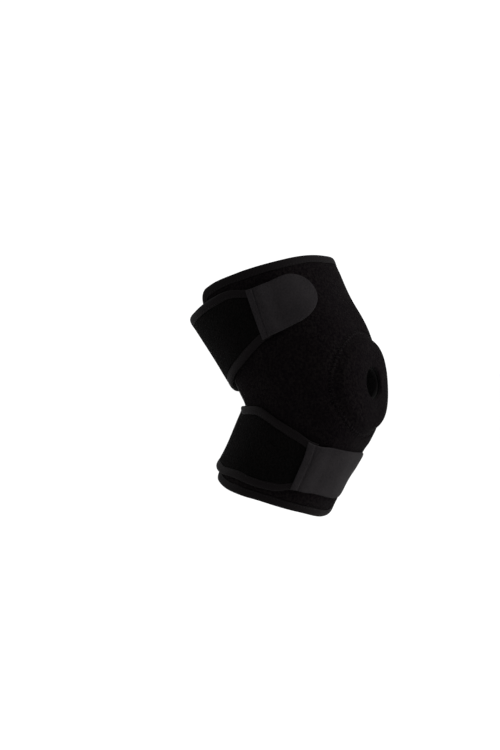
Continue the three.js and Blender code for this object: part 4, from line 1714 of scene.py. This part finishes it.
@dataclass(frozen=True)
class HookTab:
    """Hook tab sewn over the end of a strap, with a folded rear strip and a rounded end."""

    strap: Strap
    fold: float = 6.2
    fold_rise: float = 0.5
    groove: float = 0.6
    groove_behind_fold: float = 0.7
    groove_size: float = 0.75
    wave: float = 0.1
    wave_length: float = 6.5
    edge_round: float = 0.9
    edge_thin: float = 0.2
    tip_round: float = 0.12
    side_inset: float = 2.2
    side_row: float = 15.0
    end_turn: float = 88.5
    stations: int = 190
    end_stations: int = 60
    lanes: int = 50

    @property
    def groove_at(self) -> float:
        """Length from the rear edge to the stitched groove behind the folded strip."""
        return self.fold + self.groove_behind_fold

    def columns(self) -> tuple[Array, Array]:
        """Angles of the cross lines from the rear edge to the tip, and the share of the width there.

        The last stretch is a round end: the angle goes on with the sine of a turn and the width falls
        with its cosine.

        Returns:
            Two columns: the angles and the shares of the width.
        """
        strap = self.strap
        straight = np.linspace(strap.tab_rear, strap.tab_shoulder, self.stations)[:-1]
        turn = np.radians(np.linspace(0, self.end_turn, self.end_stations))
        round_end = strap.tab_shoulder + (strap.tab_tip - strap.tab_shoulder) * np.sin(turn)
        return (np.concatenate([straight, round_end])[:, None],
                np.concatenate([np.ones(self.stations - 1), np.cos(turn)])[:, None])

    def base(self, angle: Array) -> Array:
        """Height of the tab's underside: on the strap's end, then down a soft step to the panel.

        Args:
            angle: degrees round the leg.

        Returns:
            Height in millimetres.
        """
        strap = self.strap
        step_end = strap.end - strap.degrees(strap.end, strap.tab_step)
        on_strap = smooth_step(step_end, strap.end - 0.2, angle)
        return strap.cloth.on_panel + (strap.cloth.on_strap - strap.cloth.on_panel) * on_strap

    def rear(self, angle: Array) -> Array:
        """Length from the rear edge along the tab, in millimetres."""
        return (self.strap.tab_rear - angle) / self.strap.degrees(self.strap.tab_rear, 1.0)

    def top(self, angle: Array, share: Array) -> Array:
        """Height that the tab's face has above its flat: the folded strip, its stitched groove and wear.

        Args:
            angle: degrees round the leg.
            share: from -1 at the low edge to 1 at the high edge.

        Returns:
            Height in millimetres.
        """
        rear = self.rear(angle)
        strip = self.fold_rise * np.sqrt(np.clip(1 - ((rear - self.fold / 2) / (self.fold / 2)) ** 2, 0, 1))
        groove = self.groove * bump_at(rear, self.groove_at, self.groove_size)
        wave = self.wave * np.sin(rear / self.wave_length + share * 1.3) * smooth_step(8, 16, rear)
        return strip - groove + wave

    def rounded(self, from_edge: Array) -> Array:
        """Share of the thickness at a distance from an edge: a quarter circle, then 1."""
        return np.sqrt(np.clip(1 - (1 - np.clip(from_edge / self.edge_round, 0, 1)) ** 2, 0, 1))

    def body(self) -> bpy.types.Object:
        """Builds the tab: a thin section with round edges, carried from the rear edge to the tip.

        Returns:
            The tab.
        """
        strap = self.strap
        angle, width = self.columns()
        share = np.sin(np.linspace(-1, 1, self.lanes) * math.pi / 2)[None]
        at = strap.middle(angle) + strap.half(angle) * width * share
        lean = strap.leaned(at, angle)
        base = self.base(angle)
        edge = np.abs(share) * np.ones_like(angle)
        from_edge = (1 - edge) * strap.half(angle) * np.maximum(width, 0.02)
        rounding = self.rounded(from_edge)
        tip = np.sqrt(np.clip(width / self.tip_round, 0, 1))
        rear = self.rounded(self.rear(angle))
        half_thick = strap.cloth.tab / 2 * (self.edge_thin + (1 - self.edge_thin) * rounding * tip * rear)
        face = self.top(angle, share) * rounding * rear
        centre = base + strap.cloth.tab / 2
        top = strap.leg.point(at, lean, centre + half_thick + face)
        bottom = strap.leg.point(at, lean, centre - half_thick)
        name = strap.name.replace("strap", "hook_tab")
        draft = Draft(name)
        draft.carry(np.concatenate([top, bottom[:, ::-1]], axis=1), False)
        return place_piece(draft.build([HOOK]), "hook_tape", name)

    def seams(self) -> bpy.types.Object:
        """Sews the groove behind the folded strip, and both long edges back to the end of the strap.

        Returns:
            The stitches.
        """
        strap = self.strap
        draft = Draft(strap.name.replace("strap", "hook_tab_stitches"))
        degrees = strap.degrees(strap.tab_rear, 1.0)
        groove = strap.tab_rear - self.groove_at * degrees
        share = np.linspace(-0.95, 0.95, 60)
        self.row(draft, np.full_like(share, groove), share)
        inset = 1 - self.side_inset / strap.half(groove)
        angle = np.linspace(groove, groove - self.side_row * degrees, 40)
        for side in (-1, 1):
            self.row(draft, angle, np.full_like(angle, side * inset))
        return place_piece(draft.build([THREAD]), "hook_tape")

    def row(self, draft: Draft, angle: Array, share: Array) -> None:
        """Adds a row of stitches along spots of the tab's face.

        Args:
            draft: the mesh that gets the stitches.
            angle: degrees round the leg.
            share: from -1 at the low edge to 1 at the high edge.
        """
        strap = self.strap
        at = strap.middle(angle) + strap.half(angle) * share
        lean = strap.leaned(at, angle)
        height = self.base(angle) + strap.cloth.tab + self.top(angle, share)
        seam(draft, strap.leg.point(at, lean, height), strap.leg.normal(at, lean), TAB_STITCH)


@dataclass(frozen=True)
class Studio:
    """Camera at the photograph's angle, a pale floor and soft lights. Lengths are in metres."""

    azimuth: float = -58.0
    elevation: float = 1.0
    distance: float = 1.3
    shift_right: float = 0.06615
    shift_up: float = 0.021
    lens: float = 59.4
    floor: float = -0.45
    floor_size: float = 60.0
    floor_tiles: int = 8
    world_strength: float = 1.1

    def towards(self, turn: float, elevation: float) -> Vector:
        """Unit direction away from the origin, at degrees to the camera's right and above the horizon."""
        azimuth, up = math.radians(self.azimuth + turn), math.radians(elevation)
        return Vector((math.sin(azimuth) * math.cos(up), -math.cos(azimuth) * math.cos(up), math.sin(up)))

    def camera(self) -> None:
        """Makes the scene's camera."""
        back, right = self.towards(0, self.elevation), self.towards(90, 0)
        up = back.cross(right)
        data = bpy.data.cameras.new("camera")
        data.lens = self.lens
        data.sensor_width = 36
        data.clip_end = 200
        made = bpy.data.objects.new("camera", data)
        bpy.context.scene.collection.objects.link(made)
        made.location = back * self.distance - right * self.shift_right + up * self.shift_up
        made.rotation_mode = "QUATERNION"
        made.rotation_quaternion = (-back).to_track_quat("-Z", "Y")
        bpy.context.scene.camera = made

    def light(self, box: Softbox) -> None:
        """Makes a softbox that faces the support.

        Args:
            box: its name, place, size and power.
        """
        data = bpy.data.lights.new(box.name, "AREA")
        data.energy = box.watts
        data.size = box.size
        made = bpy.data.objects.new(box.name, data)
        bpy.context.scene.collection.objects.link(made)
        towards = self.towards(box.turn, box.height)
        made.location = towards * box.distance
        made.rotation_mode = "QUATERNION"
        made.rotation_quaternion = (-towards).to_track_quat("-Z", "Y")

    def backdrop(self) -> None:
        """Makes the pale floor and the white surroundings."""
        half, tiles = self.floor_size / 2, self.floor_tiles
        steps = np.linspace(-half, half, tiles + 1)
        x, y = np.meshgrid(steps, steps, indexing="ij")
        points = np.stack([x, y, np.full_like(x, self.floor)], axis=-1).reshape(-1, 3)
        i, j = np.meshgrid(np.arange(tiles), np.arange(tiles), indexing="ij")
        corner = i * (tiles + 1) + j
        quads = np.stack([corner, corner + tiles + 1, corner + tiles + 2, corner + 1], axis=-1)
        mesh = bpy.data.meshes.new("floor")
        mesh.from_pydata(points.tolist(), [], quads.reshape(-1, 4).tolist())
        paint = bpy.data.materials.new("matt_white_floor_paint")
        paint.use_nodes = True
        shader = paint.node_tree.nodes["Principled BSDF"]
        grain = add_node(paint.node_tree, "ShaderNodeTexNoise", {"Scale": 3.0})
        tone = add_node(paint.node_tree, "ShaderNodeMix", {0: grain.outputs["Fac"], 6: linear("#f6f6f6"),
                                                           7: linear("#f9f9f9")}, data_type="RGBA")
        paint.node_tree.links.new(tone.outputs[2], shader.inputs["Base Color"])
        shader.inputs["Roughness"].default_value = 0.9
        mesh.materials.append(paint)
        floor = bpy.data.objects.new("floor", mesh)
        bpy.context.scene.collection.objects.link(floor)
        world = bpy.data.worlds.new("white_studio")
        world.use_nodes = True
        background = world.node_tree.nodes["Background"]
        background.inputs["Color"].default_value = (1, 1, 1, 1)
        background.inputs["Strength"].default_value = self.world_strength
        bpy.context.scene.world = world

    def build(self) -> None:
        """Makes the camera, the lights and the surroundings."""
        self.camera()
        self.backdrop()
        for box in SOFTBOXES:
            self.light(box)
        bpy.context.scene.view_settings.view_transform = "Standard"


def main() -> None:
    """Builds the support's pieces in order, from the panel outwards, and the studio."""
    logging.basicConfig(level=logging.INFO, format="%(name)s %(message)s")
    Studio().build()
    leg, cloth = LegForm(), Cloth()
    outline, kneecap, stitch = Outline(leg), Kneecap(leg), PadStitch()
    upper = Strap(leg, cloth, "upper_strap", UPPER_ROWS, place=outline.top - UPPER_STRAP_DROP, wide=87.0,
                  tab_rear=84.5, tab_shoulder=52.0, tab_tip=30.5)
    lower = Strap(leg, cloth, "lower_strap", LOWER_ROWS, place=LOWER_STRAP_RISE - outline.bottom, wide=98.0,
                  tab_rear=59.5, tab_shoulder=-12.0, tab_tip=-38.0)
    panel = WrapPanel(leg, cloth, outline, kneecap, stitch, (upper, lower))
    declare_cloth(panel.body(), panel.flat(), panel.binding())
    pad = KneecapPad(leg, cloth, kneecap, stitch)
    pad.body()
    pad.bars()
    for strap in (upper, lower):
        body = strap.body()
        tapes = [piece for edge in Edge for piece in strap.binding(edge)]
        tab = HookTab(strap)
        sewn_on = (*tapes, strap.start_seam(), tab.body(), tab.seams())
        declare_cloth(body, strap.flat(), sewn_on)


if __name__ == "__main__":
    main()
